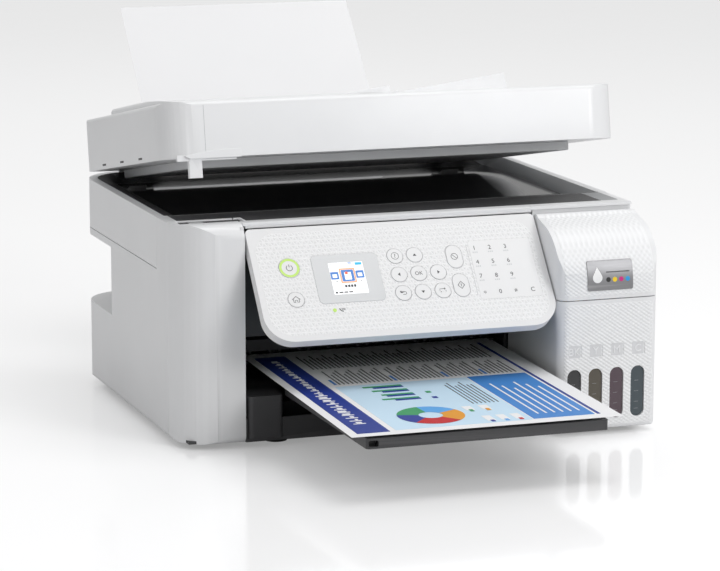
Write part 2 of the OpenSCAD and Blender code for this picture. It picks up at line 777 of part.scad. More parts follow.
module print_head() {
    color([0.3, 0.3, 0.32]) at_home() {
        along_z([head_z, carriage_z]) rrect([home_x - 18, home_x + 18],
                                            [carriage_y + 10, carriage_y + 50], 2);
    }
}

module idler_pulley() {
    color([0.6, 0.6, 0.62]) at_home() translate([pulley_x, belt_y, belt_z - 1.5]) difference() {
        cylinder(h = 9, r = pulley_r);
        translate([0, 0, -1]) cylinder(h = 11, r = 2.5);
        for (i = [0:5]) rotate(60 * i) translate([pulley_r * 0.62, 0, -1]) cylinder(h = 11, r = 1.1);
    }
}

module output_tray() {
    y = [-tray_out, -tray_out + tray_l];
    color([0.2, 0.2, 0.21]) at_home() difference() {
        union() {
            along_z([tray_z, tray_top]) rrect(tray_x, [y[0], y[1]], 3);
        }
        // shallow hand recess under the front edge and hollow underside
        bar([tray_x[0] + 4, tray_x[1] - 4], [y[0] + 6, y[1] - 4], [tray_z - 1, tray_top - 2.4]);
        // opening for the stopper and side channel at the left end
        bar([paper_x - 34, paper_x + 25], [y[0] + 14, y[0] + 44], [tray_z - 1, tray_top + 1]);
        along_y([y[0] - 1, y[0] + 8]) rrect([tray_x[0] + 1.6, tray_x[0] + 9], [tray_z + 1.4, tray_top - 1.4], 1.5);
        rod([paper_x - 39, paper_x + 30], [y[0] + 18, tray_top - 3.4], 1.5 + run_fit);
    }
}

module tray_stopper() {
    y = -tray_out;
    color([0.24, 0.24, 0.25]) at_home() {
        bar([paper_x - 33.4, paper_x + 24.4], [y + 15.8, y + 43.4], [tray_top - 4.6, tray_top - 2]);
        rod([paper_x - 38, paper_x + 29], [y + 18, tray_top - 3.4], 1.5);
    }
}

// panel outline in its own plane, set in by i
module panel_outline(i) {
    rrect([panel_x[0] + i, panel_x[1] - i], [-panel_l + i, -30], panel_r - i);
    rrect([panel_x[0] + i, panel_x[1] - i], [-panel_l + panel_r + 3, -i], 4 - i);
}

module pill(x, y, r, l) {
    rrect([x - r, x + r], [y - l / 2, y + l / 2], r - eps);
}

module panel_shell() {
    gap = 0.25;
    color("white") at_home() on_panel() {
        difference() {
            along_z([-panel_t, 0]) panel_outline(0);
            along_z([-panel_t - 1, -skin_t]) panel_outline(wall);
            for (k = round_keys) translate([k[0], k[1], -9]) cylinder(h = 20, r = key_r + gap);
            translate([power_pos[0], power_pos[1], -9]) cylinder(h = 20, r = power_r + gap);
            for (y = [stop_y, start_y]) along_z([-9, 9]) pill(pill_x, y, pill_r + gap, pill_l + 2 * gap);
            along_z([-2, 1]) lens_outline(0);
            along_z([-0.6, 1]) digits_outline(0);
        }
        // hinge bosses and pins
        for (s = [0, 1]) {
            x = s == 0 ? column_x + 14.4 : tank_x - 17;
            bar([x, x + 3.6], [-12.5, -3.5], [-16, -skin_t + eps]);
        }
        rod([column_x + 9.6, column_x + 15], panel_pin, pin_r);
        rod([tank_x - 14, tank_x - 8.6], panel_pin, pin_r);
    }
}

module lens_outline(i) {
    rrect([lens_x - lens_w / 2 + i, lens_x + lens_w / 2 - i],
          [lens_y - lens_h / 2 + i, lens_y + lens_h / 2 - i], 4);
}

module digits_outline(i) {
    rrect([digit_x + i, digit_x + 51 - i], [-72 + i, -21 - i], 2);
}

module display_window() {
    color([0.86, 0.86, 0.87]) at_home() on_panel() along_z([-2, 0.2]) lens_outline(0.05);
}

module panel_board() {
    color("darkgreen") at_home() on_panel() {
        along_z([-panel_t + 0.2, -panel_t + 1.8])
            rrect([panel_x[0] + 4, panel_x[1] - 4], [-panel_l + 8, -20], 12);
    }
}

module number_keys() {
    color([0.95, 0.95, 0.95]) at_home() on_panel() along_z([-0.6, 0.04]) digits_outline(0.05);
}

module round_key(p, r) {
    color([0.97, 0.97, 0.97]) at_home() on_panel() translate([p[0], p[1], 0]) {
        translate([0, 0, -4.6]) cylinder(h = 4.85, r = r);
        translate([0, 0, -5.4]) cylinder(h = 1.4, r = r + 1.1);
    }
}

module pill_key(y) {
    color([0.97, 0.97, 0.97]) at_home() on_panel() {
        along_z([-4.6, 0.25]) pill(pill_x, y, pill_r, pill_l);
        along_z([-5.4, -4]) pill(pill_x, y, pill_r + 1, pill_l + 2);
    }
}

module power_key() { round_key(power_pos, power_r); }
module home_key() { round_key(home_pos, key_r); }
module help_key() { round_key(grid_key(-1, 1), key_r); }
module up_key() { round_key(grid_key(0, 1), key_r); }
module left_key() { round_key(grid_key(-1, 0), key_r); }
module ok_key() { round_key(grid_key(0, 0), key_r); }
module right_key() { round_key(grid_key(1, 0), key_r); }
module back_key() { round_key(grid_key(-1, -1), key_r); }
module down_key() { round_key(grid_key(0, -1), key_r); }
module more_key() { round_key(grid_key(1, -1), key_r); }
module stop_key() { pill_key(stop_y); }
module start_key() { pill_key(start_y); }

module scanner_frame() {
    front = deck_d + 0.4;
    color("white") at_home() {
        difference() {
            intersection() {
                casing(0);
                bar([-w2 - 1, w2 + 1], [front, body_d + 1], [scan_lo, rim_z + 1]);
            }
            intersection() {
                casing(wall);
                bar([-w2, w2], [front + wall, body_d], [scan_lo + wall, glass_z - glass_t - 2.5]);
            }
            // sloping well down to the glass
            hull() {
                along_z([glass_z, glass_z + 0.1]) rrect(glass_x, glass_y, 3);
                along_z([rim_z, rim_z + 0.1]) intersection() {
                    rrect([-w2 + 7, w2 - 7], [7, body_d - 7], corner_r - 7);
                    translate([-w2, front + 2.6]) square([body_w, body_d]);
                }
            }
            along_z([glass_z - glass_t, glass_z + 1]) rrect(glass_x, glass_y, 3);
            bar([glass_x[0] + 5, glass_x[1] - 5], [glass_y[0] + 5, glass_y[1] - 5],
                [glass_z - glass_t - 4, glass_z]);
            // pockets for the lid hinges
            for (s = [-1, 1]) bar([s * hinge_x - 7.4, s * hinge_x + 7.4],
                                  [lid_hinge[0] - 6.6, lid_hinge[0] + 6.6], [rim_z - 4, rim_z + 1]);
        }
        for (s = [-1, 1]) {
            x = s > 0 ? side_x - 12.4 : -side_x + 5.4;
            rod([x, x + 7], scan_hinge, 4.6);
            bar([x, x + 7], [body_d + slide_gap, scan_hinge[0] + 4.6], [scan_hinge[1], scan_lo + 6]);
            bar([x, x + 7], [body_d - wall, scan_hinge[0]], [scan_lo, scan_lo + 6]);
            rod([x - 3.6, x + 10.6], scan_hinge, 2.5);
        }
    }
}

module scanner_glass() {
    color([0.02, 0.02, 0.02]) at_home()
        along_z([glass_z - glass_t, glass_z]) rrect([glass_x[0] + 0.1, glass_x[1] - 0.1],
                                                    [glass_y[0] + 0.1, glass_y[1] - 0.1], 3);
}

module sensor_bar() {
    x = glass_x[0] + 8;
    color([0.3, 0.3, 0.32]) at_home() {
        bar([x, x + sensor_w], [glass_y[0] + 8, glass_y[1] - 8],
            [scan_lo + wall + 3, glass_z - glass_t - 3.2]);
        bar([x + 3, x + sensor_w - 3], [glass_y[0] + 10, glass_y[1] - 10],
            [glass_z - glass_t - 3.3, glass_z - glass_t - 0.8]);
    }
}

module lid_plan(i) {
    rrect([-w2 + i, w2 - i], [lid_front + i, lid_back - i], lid_r - i);
}

module lid_body(i) {
    intersection() {
        along_z([lid_lo + i, lid_top - i]) lid_plan(i);
        along_y([0, body_d]) rrect([-w2 + i, w2 - i], [lid_lo - 20, lid_top - i], 5 - i);
        along_x([-w2, w2]) rrect([lid_front + i, lid_back - i], [lid_lo - 20, lid_top - i], 5 - i);
    }
}

module lid_shell() {
    well_x = [doc_x[0] + 7, doc_x[1] + 45];
    roller = doc_roller_axis();
    color("white") at_home() on_lid() difference() {
        union() {
            difference() {
                lid_body(0);
                lid_body(wall);
            }
            // floor of the outlet well and its walls
            bar([well_x[0] - wall, well_x[1] + wall], [hump_y[0] + 6, hump_y[1] - 6],
                [lid_top - 7.5, lid_top - 1]);
            // housings of the two hinges
            for (s = [-1, 1]) along_z([lid_lo + 3, lid_lo + 32])
                rrect([s * hinge_x - 22, s * hinge_x + 22], [lid_back - 12, body_d + 2], 4);
            // ears of the document roller
            for (y = [hump_y[0] + 44, hump_y[1] - 47]) {
                bar([roller[0] - 5, roller[0] + 5], [y, y + 3], [roller[1], lid_top - wall + eps]);
                translate([roller[0], y + 3, roller[1]]) rotate([90, 0, 0]) cylinder(h = 3, r = 5);
            }
            // handle lip, post and nub under the front left corner
            bar([scoop_x[0] + 2, column_x + 3], [lid_front + 1.5, lid_front + 3.5],
                [rim_z - 1, lid_lo + wall]);
            bar(post_x, [lid_front + 1, lid_front + 6], [rim_z - 14, lid_lo + wall]);
        }
        bar(well_x, [hump_y[0] + 8.5, hump_y[1] - 8.5], [lid_top - 5, lid_top + 1]);
        // pockets that clear the hinge posts, then the pin bores
        for (s = [-1, 1]) {
            bar([s * hinge_x - 7.6, s * hinge_x + 7.6], [lid_hinge[0] - 14, body_d + 3],
                [lid_lo - 1, lid_lo + 22]);
            rod([s * hinge_x - 18, s * hinge_x + 18], lid_hinge, 3 + run_fit);
            // room for the rim of the scanner when the lid stands wide open
            bar([s * hinge_x - 23, s * hinge_x + 23], [lid_hinge[0] + 3, body_d + 3],
                [lid_lo - 1, lid_lo + 12]);
        }
        translate([roller[0], hump_y[1], roller[1]]) rotate([90, 0, 0])
            cylinder(h = hump_y[1] - hump_y[0], r = 2.5 + run_fit);
        bar([roller[0] - 11, roller[0] + 11], [hump_y[0] + 52, hump_y[1] - 52],
            [lid_top - wall - 1, lid_top + 1]);
    }
}

// middle line of the document roller as x and z
function doc_roller_axis() = [hump_x[1] - 34, lid_top - doc_roller_r + 1.5];

module lid_pad() {
    color([0.85, 0.86, 0.87]) at_home() on_lid()
        along_z([lid_lo - pad_h, lid_lo]) rrect([glass_x[0] + 4, glass_x[1] - 9],
                                                [glass_y[0] + 2, glass_y[1] - 6], 6);
}

module lid_hinges() {
    color([0.9, 0.9, 0.9]) at_home() for (s = [-1, 1]) {
        x = [s * hinge_x - 7, s * hinge_x + 7];
        rod(x, lid_hinge, 6);
        bar(x, [lid_hinge[0] - 6, lid_hinge[0] + 4], [rim_z - 4, lid_hinge[1]]);
        rod([x[0] - 8, x[1] + 8], lid_hinge, 3);
    }
}

module adf_cover() {
    run = crest_y - hump_y[0];
    color("white") at_home() on_lid() difference() {
        intersection() {
            along_z([lid_top + 0.4, lid_top + hump_h]) rrect(hump_x, hump_y, 8);
            // the top swells gently from the front edge to the crest
            along_x(hump_x) polygon(concat(
                [for (i = [0:swell_steps]) let (t = i / swell_steps)
                    [hump_y[0] + run * t, lid_top + hump_h * (0.2 + 0.8 * (1 - pow(1 - t, 2)))]],
                [[hump_y[1], lid_top + hump_h], [hump_y[1], lid_top - 5], [hump_y[0], lid_top - 5]]));
            along_y(hump_y) rrect(hump_x, [lid_top - 30, lid_top + hump_h], 5);
        }
        bar([hump_x[0] + 4, hump_x[1] - 3], [hump_y[0] + 50, hump_y[1] - 4],
            [lid_top, lid_top + hump_h - 4]);
    }
}

module adf_input_tray() {
    rise = tan(doc_slope);
    run = doc_x[1] - doc_x[0];
    color("white") at_home() on_lid() difference() {
        along_y([hump_y[0] - 4, hump_y[1] - 2]) polygon([
            [doc_x[0], lid_top + 0.5], [doc_x[1] + 3, lid_top + 0.5],
            [doc_x[1], lid_top + 1.6 + run * rise], [doc_x[0], lid_top + 1.6]]);
        // sunken paper floor between the two side walls, open below
        along_y([hump_y[0], hump_y[1] - 6]) polygon([
            [doc_x[0] + 8, lid_top + 1.6 + 6 * rise], [doc_x[1] + 9, lid_top + 1.6 + (run + 7) * rise],
            [doc_x[1] + 9, lid_top + 20], [doc_x[0] + 8, lid_top + 20]]);
        along_y([hump_y[0] + 0.5, hump_y[1] - 6.5]) polygon([
            [doc_x[0] + 16, lid_top - 1], [doc_x[1] + 9, lid_top - 1],
            [doc_x[1] + 9, lid_top - 0.4 + run * rise], [doc_x[0] + 16, lid_top - 0.6 + 14 * rise]]);
    }
}

module adf_edge_guide() {
    color([0.93, 0.93, 0.93]) at_home() on_lid()
        translate([doc_x[0] + 8, 0, lid_top + 1.9 + 6 * tan(doc_slope)]) rotate([0, -doc_slope, 0]) {
            bar([22, 60], [hump_y[1] - 30, hump_y[1] - 10], [0.2, 1.4]);
            bar([22, 60], [hump_y[1] - 13, hump_y[1] - 10], [0.3, 7]);
        }
}

module adf_roller() {
    c = doc_roller_axis();
    color([0.15, 0.15, 0.16]) at_home() on_lid() {
        translate([c[0], hump_y[1] - 43, c[1]]) rotate([90, 0, 0])
            cylinder(h = hump_y[1] - hump_y[0] - 83, r = 2.5);
        translate([c[0], hump_y[1] - 70, c[1]]) rotate([90, 0, 0])
            cylinder(h = hump_y[1] - hump_y[0] - 140, r = doc_roller_r);
    }
}

module paper_support() {
    x = [paper_x - support_w / 2, paper_x + support_w / 2];
    color("white") at_home() on_feed() difference() {
        along_z([-support_back, -support_back + 2.6]) rrect(x, [-14, support_l], 8);
        along_z([-support_back - 1, -support_back + 1])
            rrect([x[0] + 12, x[1] - 12], [20, support_l - 14], 5);
        for (i = [0:4]) along_z([-support_back - 1, 0])
            rrect([paper_x - 50 + 22 * i, paper_x - 38 + 22 * i], [support_l - 40, support_l - 22], 3);
    }
}

// side fence of the rear feed; s is -1 on the left and 1 on the right
module edge_guide(s) {
    edge = paper_x + s * (paper_w / 2 + 0.7);
    tip = edge + s * 2.4;
    inner = edge - s * guide_w;
    color("white") at_home() on_feed() {
        bar([min(edge, tip), max(edge, tip)], [-62, -8], [-support_back + 3, guide_h]);
        bar([min(inner, tip), max(inner, tip)], [-62, -8], [-support_back + 3, -0.6]);
    }
}

module edge_guide_left() { edge_guide(-1); }
module edge_guide_right() { edge_guide(1); }

base_pan();
rubber_feet();
left_side_cover();
right_side_cover();
rear_cover();
front_deck();
front_liner();
main_rail();
platen();
star_wheel_bar();
ink_tanks();
main_board();
power_supply();
capping_station();
drive_motors();
drive_belt();
case_screws();
feed_roller();
eject_roller();
pick_roller();
carriage();
print_head();
idler_pulley();
output_tray();
tray_stopper();
tank_lid();
tank_badge();
tank_cap_black();
tank_cap_yellow();
tank_cap_magenta();
tank_cap_cyan();
panel_shell();
display_window();
panel_board();
number_keys();
power_key();
home_key();
help_key();
up_key();
left_key();
ok_key();
right_key();
back_key();
down_key();
more_key();
stop_key();
start_key();
scanner_frame();
scanner_glass();
sensor_bar();
lid_shell();
lid_pad();
lid_hinges();
adf_cover();
adf_input_tray();
adf_edge_guide();
adf_roller();
paper_support();
edge_guide_left();
edge_guide_right();
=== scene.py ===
"""Studio scene of a desktop inkjet printer with a scanner, a document feeder and refillable ink tanks."""
import functools
import json
import logging
import math
from dataclasses import dataclass, field
from enum import Enum
from typing import Callable, Iterable, Sequence

import bmesh
import bpy
from mathutils import Matrix, Vector

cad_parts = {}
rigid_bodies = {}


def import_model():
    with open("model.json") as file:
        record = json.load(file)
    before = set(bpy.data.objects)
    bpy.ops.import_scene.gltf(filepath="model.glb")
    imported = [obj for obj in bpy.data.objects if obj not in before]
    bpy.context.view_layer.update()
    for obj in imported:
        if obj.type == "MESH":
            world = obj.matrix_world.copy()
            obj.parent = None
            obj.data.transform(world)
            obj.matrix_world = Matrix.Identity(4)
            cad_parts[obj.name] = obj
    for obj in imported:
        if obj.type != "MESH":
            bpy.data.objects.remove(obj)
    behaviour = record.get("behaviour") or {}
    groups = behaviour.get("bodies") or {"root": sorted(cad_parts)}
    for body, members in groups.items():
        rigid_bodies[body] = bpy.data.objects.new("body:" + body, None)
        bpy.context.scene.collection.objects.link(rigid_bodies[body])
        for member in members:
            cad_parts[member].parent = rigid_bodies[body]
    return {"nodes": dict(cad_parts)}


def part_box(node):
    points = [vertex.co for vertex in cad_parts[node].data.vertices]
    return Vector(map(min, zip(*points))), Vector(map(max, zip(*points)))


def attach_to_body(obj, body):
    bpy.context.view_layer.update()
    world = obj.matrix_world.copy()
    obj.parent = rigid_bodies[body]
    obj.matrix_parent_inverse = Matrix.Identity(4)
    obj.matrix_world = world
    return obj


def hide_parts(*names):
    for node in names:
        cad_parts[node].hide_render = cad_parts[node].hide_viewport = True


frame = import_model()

log = logging.getLogger("printer")

MM = 0.001
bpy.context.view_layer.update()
FACE_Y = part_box("left_side_cover")[0].y      # front face of the left column
HALF_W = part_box("scanner_frame")[1].x / MM   # half the width of the casing
RIM_Z = 173.0                                # height of the casing's rim

Loop = list[tuple[float, float]]
Span = tuple[float, float]
Point = tuple[float, float, float]
Box = tuple[float, float, float, float]
Colour = tuple[float, float, float]
Socket = bpy.types.NodeSocket
Sockets = bpy.types.bpy_prop_collection
Value = Socket | float | tuple[float, ...]


# ---------------------------------------------------------------- places


def at(x: float, y: float, z: float) -> Vector:
    """A point in metres from millimetres, with y counted from the column's face."""
    return Vector((x * MM, FACE_Y + y * MM, z * MM))


@dataclass(frozen=True)
class Plane:
    """A working plane turned about the X direction, measured in millimetres.

    Its own x runs to the right, its y runs up the face and its z stands out of the face.
    """

    origin: Point
    turn: float = 0.0
    pivot: Point = (0.0, 0.0, 0.0)

    def matrix(self) -> Matrix:
        """The placement of the plane in the machine, in metres."""
        back = Matrix.Translation(-Vector(self.pivot) * MM)
        turned = Matrix.Rotation(math.radians(self.turn), 4, "X") @ back
        return Matrix.Translation(at(*self.origin)) @ turned


LID_OPEN = 10.3
LID_HINGE = (0.0, 288.0, 176.2)
GROUND = Plane((0, 0, 0))
PANEL = Plane((0, 7, 168), 90 - 38.3)
FEED = Plane((0, 299, 133), 90 - 41.9)
LID = Plane(LID_HINGE, -LID_OPEN, LID_HINGE)
TANK_FRONT = Plane((0, -47.5, 0), 90)


# ---------------------------------------------------------------- outlines


def rounded(x0: float, x1: float, y0: float, y1: float, r: float, steps: int = 8) -> Loop:
    """A rectangle with round corners.

    Args:
        x0, x1, y0, y1: the sides.
        r: the corner radius.
        steps: straight steps in each corner.

    Returns:
        The closed outline, anticlockwise.
    """
    r = max(min(r, (x1 - x0) / 2 - 1e-4, (y1 - y0) / 2 - 1e-4), 1e-4)
    corners = [(x1 - r, y1 - r, 0), (x0 + r, y1 - r, 90), (x0 + r, y0 + r, 180), (x1 - r, y0 + r, 270)]
    return [point for cx, cy, start in corners for point in arc(cx, cy, r, start, start + 90, steps)]


def disc(cx: float, cy: float, r: float, steps: int = 40) -> Loop:
    """A circle as a closed outline."""
    return [
        (cx + r * math.cos(2 * math.pi * i / steps), cy + r * math.sin(2 * math.pi * i / steps))
        for i in range(steps)
    ]


def arc(cx: float, cy: float, r: float, start: float, end: float, steps: int = 16) -> Loop:
    """An open stretch of a circle from start to end, in degrees."""
    angles = [math.radians(start + (end - start) * i / steps) for i in range(steps + 1)]
    return [(cx + r * math.cos(a), cy + r * math.sin(a)) for a in angles]


def moved(loop: Iterable[tuple[float, float]], dx: float, dy: float, size: float = 1.0) -> Loop:
    """An outline scaled about its origin, then shifted."""
    return [(x * size + dx, y * size + dy) for x, y in loop]


# ---------------------------------------------------------------- shader graphs


class Graph:
    """A thin helper over a node tree, so that a material reads as a short recipe."""

    def __init__(self, tree: bpy.types.NodeTree) -> None:
        """Takes the tree that the nodes go in."""
        self.tree = tree

    def add(self, kind: str, inputs: dict | None = None, **settings: object) -> bpy.types.Node:
        """Adds a node.

        Args:
            kind: the node's type name.
            inputs: values or sockets for its input sockets, by name or number.
            settings: attributes of the node.

        Returns:
            The node.
        """
        node = self.tree.nodes.new(kind)
        for key, value in settings.items():
            setattr(node, key, value)
        for key, value in (inputs or {}).items():
            self.feed(value, node.inputs[key])
        return node

    def feed(self, value: Value, socket: Socket) -> None:
        """Links a socket, or sets a plain value, on an input."""
        if isinstance(value, Socket):
            self.tree.links.new(value, socket)
        else:
            socket.default_value = value

    def math(self, operation: str, *values: Value) -> Socket:
        """The result of a Math node over numbers or sockets."""
        return self.add("ShaderNodeMath", dict(enumerate(values)), operation=operation).outputs[0]

    def mix(self, share: Value, first: Value, second: Value) -> Socket:
        """A colour between two colours."""
        node = self.add("ShaderNodeMix", data_type="RGBA")
        for number, value in ((0, share), (6, first), (7, second)):
            plain = isinstance(value, tuple) and len(value) == 3
            self.feed((*value, 1.0) if plain else value, node.inputs[number])
        return node.outputs[2]

    def group(self, tree: bpy.types.NodeTree, **values: Value) -> Sockets:
        """Places a node group and sets its inputs; underscores stand for spaces in their names."""
        node = self.add("ShaderNodeGroup", node_tree=tree)
        for key, value in values.items():
            socket = node.inputs[key.replace("_", " ")]
            if isinstance(value, tuple) and len(value) == 3 and socket.type == "RGBA":
                value = (*value, 1.0)
            self.feed(value, socket)
        return node.outputs

    def place(self) -> Socket:
        """The point of the surface in the piece's own frame."""
        return self.add("ShaderNodeTexCoord").outputs["Object"]

    def split(self, vector: Value) -> Sockets:
        """The x, y and z of a vector."""
        return self.add("ShaderNodeSeparateXYZ", {0: vector}).outputs

    def noise(self, place: Value, scale: Value, detail: float, distortion: float = 0.0) -> Socket:
        """A noise pattern."""
        inputs = {"Vector": place, "Scale": scale, "Detail": detail, "Distortion": distortion}
        return self.add("ShaderNodeTexNoise", inputs).outputs[0]

    def ramp(self, value: Value, low: float, high: float) -> Socket:
        """A share that runs from 0 at one value to 1 at another."""
        return self.add("ShaderNodeMapRange", {"Value": value, "From Min": low, "From Max": high}).outputs[0]

    def bump(self, height: Value, strength: float, distance: float, normal: Socket | None = None) -> Socket:
        """The surface's direction once a height is raised on it."""
        inputs = {"Height": height, "Strength": strength, "Distance": distance}
        if normal is not None:
            inputs["Normal"] = normal
        return self.add("ShaderNodeBump", inputs).outputs[0]


def effect(name: str, inputs: dict, *outputs: str) -> Callable[[Callable], staticmethod]:
    """Turns a recipe into a shared node group, built the first time that it is asked for.

    Args:
        name: the group's name.
        inputs: by name, a float's or a colour's default, or the type of a socket without one.
        outputs: their names; the one named Color is a colour and the others are floats.

    Returns:
        A decorator for the recipe, which draws the inside from the graph and the group's inputs.
    """

    def wrap(recipe: Callable[[Graph, Sockets], dict[str, Socket]]) -> staticmethod:
        """Wraps one recipe."""

        @functools.cache
        def build() -> bpy.types.NodeTree:
            """Builds the group."""
            tree = bpy.data.node_groups.new(name, "ShaderNodeTree")
            for key, value in inputs.items():
                kind = value if isinstance(value, str) else "Color" if isinstance(value, tuple) else "Float"
                socket = tree.interface.new_socket(name=key, in_out="INPUT", socket_type=f"NodeSocket{kind}")
                if value != kind:
                    socket.default_value = value
            for key in outputs:
                kind = "Color" if key == "Color" else "Float"
                tree.interface.new_socket(name=key, in_out="OUTPUT", socket_type=f"NodeSocket{kind}")
            graph = Graph(tree)
            entry = graph.add("NodeGroupInput").outputs
            result = graph.add("NodeGroupOutput").inputs
            for key, socket in recipe(graph, entry).items():
                graph.feed(socket, result[key])
            return tree

        return staticmethod(build)

    return wrap


class Effects:
    """The shader node groups that several materials share."""

    @effect("moulded_grain", {"Scale": 2500.0}, "Height", "Tone")
    def grain(g: Graph, entry: Sockets) -> dict[str, Socket]:
        """Fine moulded grain: a height and a soft tone."""
        place = g.place()
        cell_scale = g.math("MULTIPLY", entry["Scale"], 0.7)
        cells = g.add("ShaderNodeTexVoronoi", {"Vector": place, "Scale": cell_scale}).outputs[0]
        height = g.math("ADD", g.noise(place, entry["Scale"], 3.0), g.math("MULTIPLY", cells, 0.4))
        return {"Height": height, "Tone": g.noise(place, 14.0, 4.0)}

    @effect("handling_marks", {"Base": 0.35, "Spread": 0.1}, "Roughness")
    def handling(g: Graph, entry: Sockets) -> dict[str, Socket]:
        """Slight smears from handling, as a roughness that varies around its base."""
        centred = g.math("SUBTRACT", g.noise(g.place(), 22.0, 6.0, 1.4), 0.5)
        return {"Roughness": g.math("MULTIPLY_ADD", centred, entry["Spread"], entry["Base"])}

    @effect("edge_wear_and_corner_shade", {"Color": "Color", "Edge Color": (1, 1, 1, 1), "Amount": 0.2}, "Color")
    def wear_and_shade(g: Graph, entry: Sockets) -> dict[str, Socket]:
        """Paler, slightly worn convex edges, and inner corners darkened as painted shade."""
        point = g.add("ShaderNodeNewGeometry").outputs["Pointiness"]
        ridge = g.math("MULTIPLY", g.ramp(point, 0.52, 0.62), entry["Amount"])
        lighter = g.mix(ridge, entry["Color"], entry["Edge Color"])
        # Painted shade: inner corners are darkened towards a dull grey-brown.
        corner_shade = g.math("MULTIPLY", g.ramp(point, 0.48, 0.40), g.math("MULTIPLY", entry["Amount"], 0.5))
        return {"Color": g.mix(corner_shade, lighter, (0.25, 0.24, 0.22))}

    @effect(
        "dust_film", {"Color": "Color", "Dust Color": (0.6, 0.58, 0.55, 1), "Amount": 0.1}, "Color", "Mask"
    )
    def dust(g: Graph, entry: Sockets) -> dict[str, Socket]:
        """A thin film of dust on what faces up."""
        up = g.split(g.add("ShaderNodeNewGeometry").outputs["Normal"])[2]
        specks = g.ramp(g.noise(g.place(), 900.0, 2.0), 0.5, 0.75)
        mask = g.math("MULTIPLY", g.math("MULTIPLY", g.ramp(up, 0.55, 1.0), specks), entry["Amount"])
        return {"Color": g.mix(mask, entry["Color"], entry["Dust Color"]), "Mask": mask}

    @effect("triangle_lattice", {"Pitch": 0.004}, "Height")
    def lattice(g: Graph, entry: Sockets) -> dict[str, Socket]:
        """Small three-sided facets, as a height over the x and y of the piece."""
        place = g.split(g.place())
        row = g.math("MULTIPLY", entry["Pitch"], 0.866)
        height = 1.0
        for angle in (90.0, 30.0, 150.0):
            across = g.math("MULTIPLY", place[0], math.cos(math.radians(angle)))
            along = g.math("ADD", across, g.math("MULTIPLY", place[1], math.sin(math.radians(angle))))
            height = g.math("MINIMUM", height, g.math("PINGPONG", g.math("DIVIDE", along, row), 0.5))
        return {"Height": g.math("MINIMUM", g.math("MULTIPLY", height, 3.6), 1.0)}

    @effect("ripple_rows", {"Width": 0.003, "Row": 0.0016}, "Height")
    def ripple(g: Graph, entry: Sockets) -> dict[str, Socket]:
        """Staggered rows of small waves, as a height over the width and height of a front face."""
        place = g.split(g.place())
        rise = g.math("SUBTRACT", place[2], g.math("MULTIPLY", place[1], 0.8))
        across, down = (
            g.math("SINE", g.math("DIVIDE", run, g.math("DIVIDE", entry[length], math.pi)))
            for run, length in ((place[0], "Width"), (rise, "Row"))
        )
        return {"Height": g.math("MULTIPLY_ADD", g.math("MULTIPLY", across, down), 0.5, 0.5)}

    @effect(
        "rounded_field",
        {"Vector": "Vector", "Centre": "Vector", "Half": "Vector", "Radius": 0.01, "Fade": 0.001},
        "Mask",
    )
    def field(g: Graph, entry: Sockets) -> dict[str, Socket]:
        """A mask that is 1 inside a rounded rectangle and fades to 0 at its rim."""
        centre, half, point = (g.split(entry[key]) for key in ("Centre", "Half", "Vector"))
        squares = []
        for i in (0, 1):
            off = g.math("ABSOLUTE", g.math("SUBTRACT", point[i], centre[i]))
            past = g.math("SUBTRACT", off, g.math("SUBTRACT", half[i], entry["Radius"]))
            away = g.math("MAXIMUM", past, 0.0)
            squares.append(g.math("MULTIPLY", away, away))
        reach = g.math("SQRT", g.math("ADD", *squares))
        share = g.math("DIVIDE", g.math("SUBTRACT", entry["Radius"], reach), entry["Fade"])
        return {"Mask": g.math("MINIMUM", g.math("MAXIMUM", share, 0.0), 1.0)}

    @effect("brushed_lines", {"Scale": 1.0}, "Height", "Tone")
    def brushed(g: Graph, entry: Sockets) -> dict[str, Socket]:
        """Fine parallel lines along X, as a height and a tone."""
        long = g.add("ShaderNodeMapping", {"Vector": g.place(), "Scale": (40.0, 2600.0, 2600.0)}).outputs[0]
        lines = g.noise(long, entry["Scale"], 4.0)
        return {"Height": lines, "Tone": lines}


# ---------------------------------------------------------------- finishes


class Relief(Enum):
    """The moulded surface pattern of a plastic piece."""

    PLAIN = "plain"
    LATTICE = "lattice"
    RIPPLE = "ripple"


_materials: dict[str, bpy.types.Material] = {}


@dataclass(frozen=True)
class Finish:
    """What every finish has: a name, a colour and a roughness."""

    name: str
    colour: Colour
    roughness: float = 0.4

    def material(self) -> bpy.types.Material:
        """The material of this finish, built once."""
        if self.name not in _materials:
            material = bpy.data.materials.new(self.name)
            material.use_nodes = True
            pins = material.node_tree.nodes["Principled BSDF"].inputs
            pins["Base Color"].default_value = (*self.colour, 1.0)
            pins["Roughness"].default_value = self.roughness
            self.dress(Graph(material.node_tree), pins)
            _materials[self.name] = material
        return _materials[self.name]

    def dress(self, g: Graph, pins: Sockets) -> None:
        """Adds this finish's detail to the inputs of the shader."""
        raise NotImplementedError

    def tint(self, factor: float, lift: float = 0.0) -> Colour:
        """A paler or deeper shade of the finish's colour."""
        return tuple(min(1.0, c * factor + lift) for c in self.colour)

    def handle(self, g: Graph, pins: Sockets, spread: float) -> None:
        """Links a roughness that varies by a spread."""
        marks = g.group(Effects.handling(), Base=self.roughness, Spread=spread)
        g.feed(marks["Roughness"], pins["Roughness"])


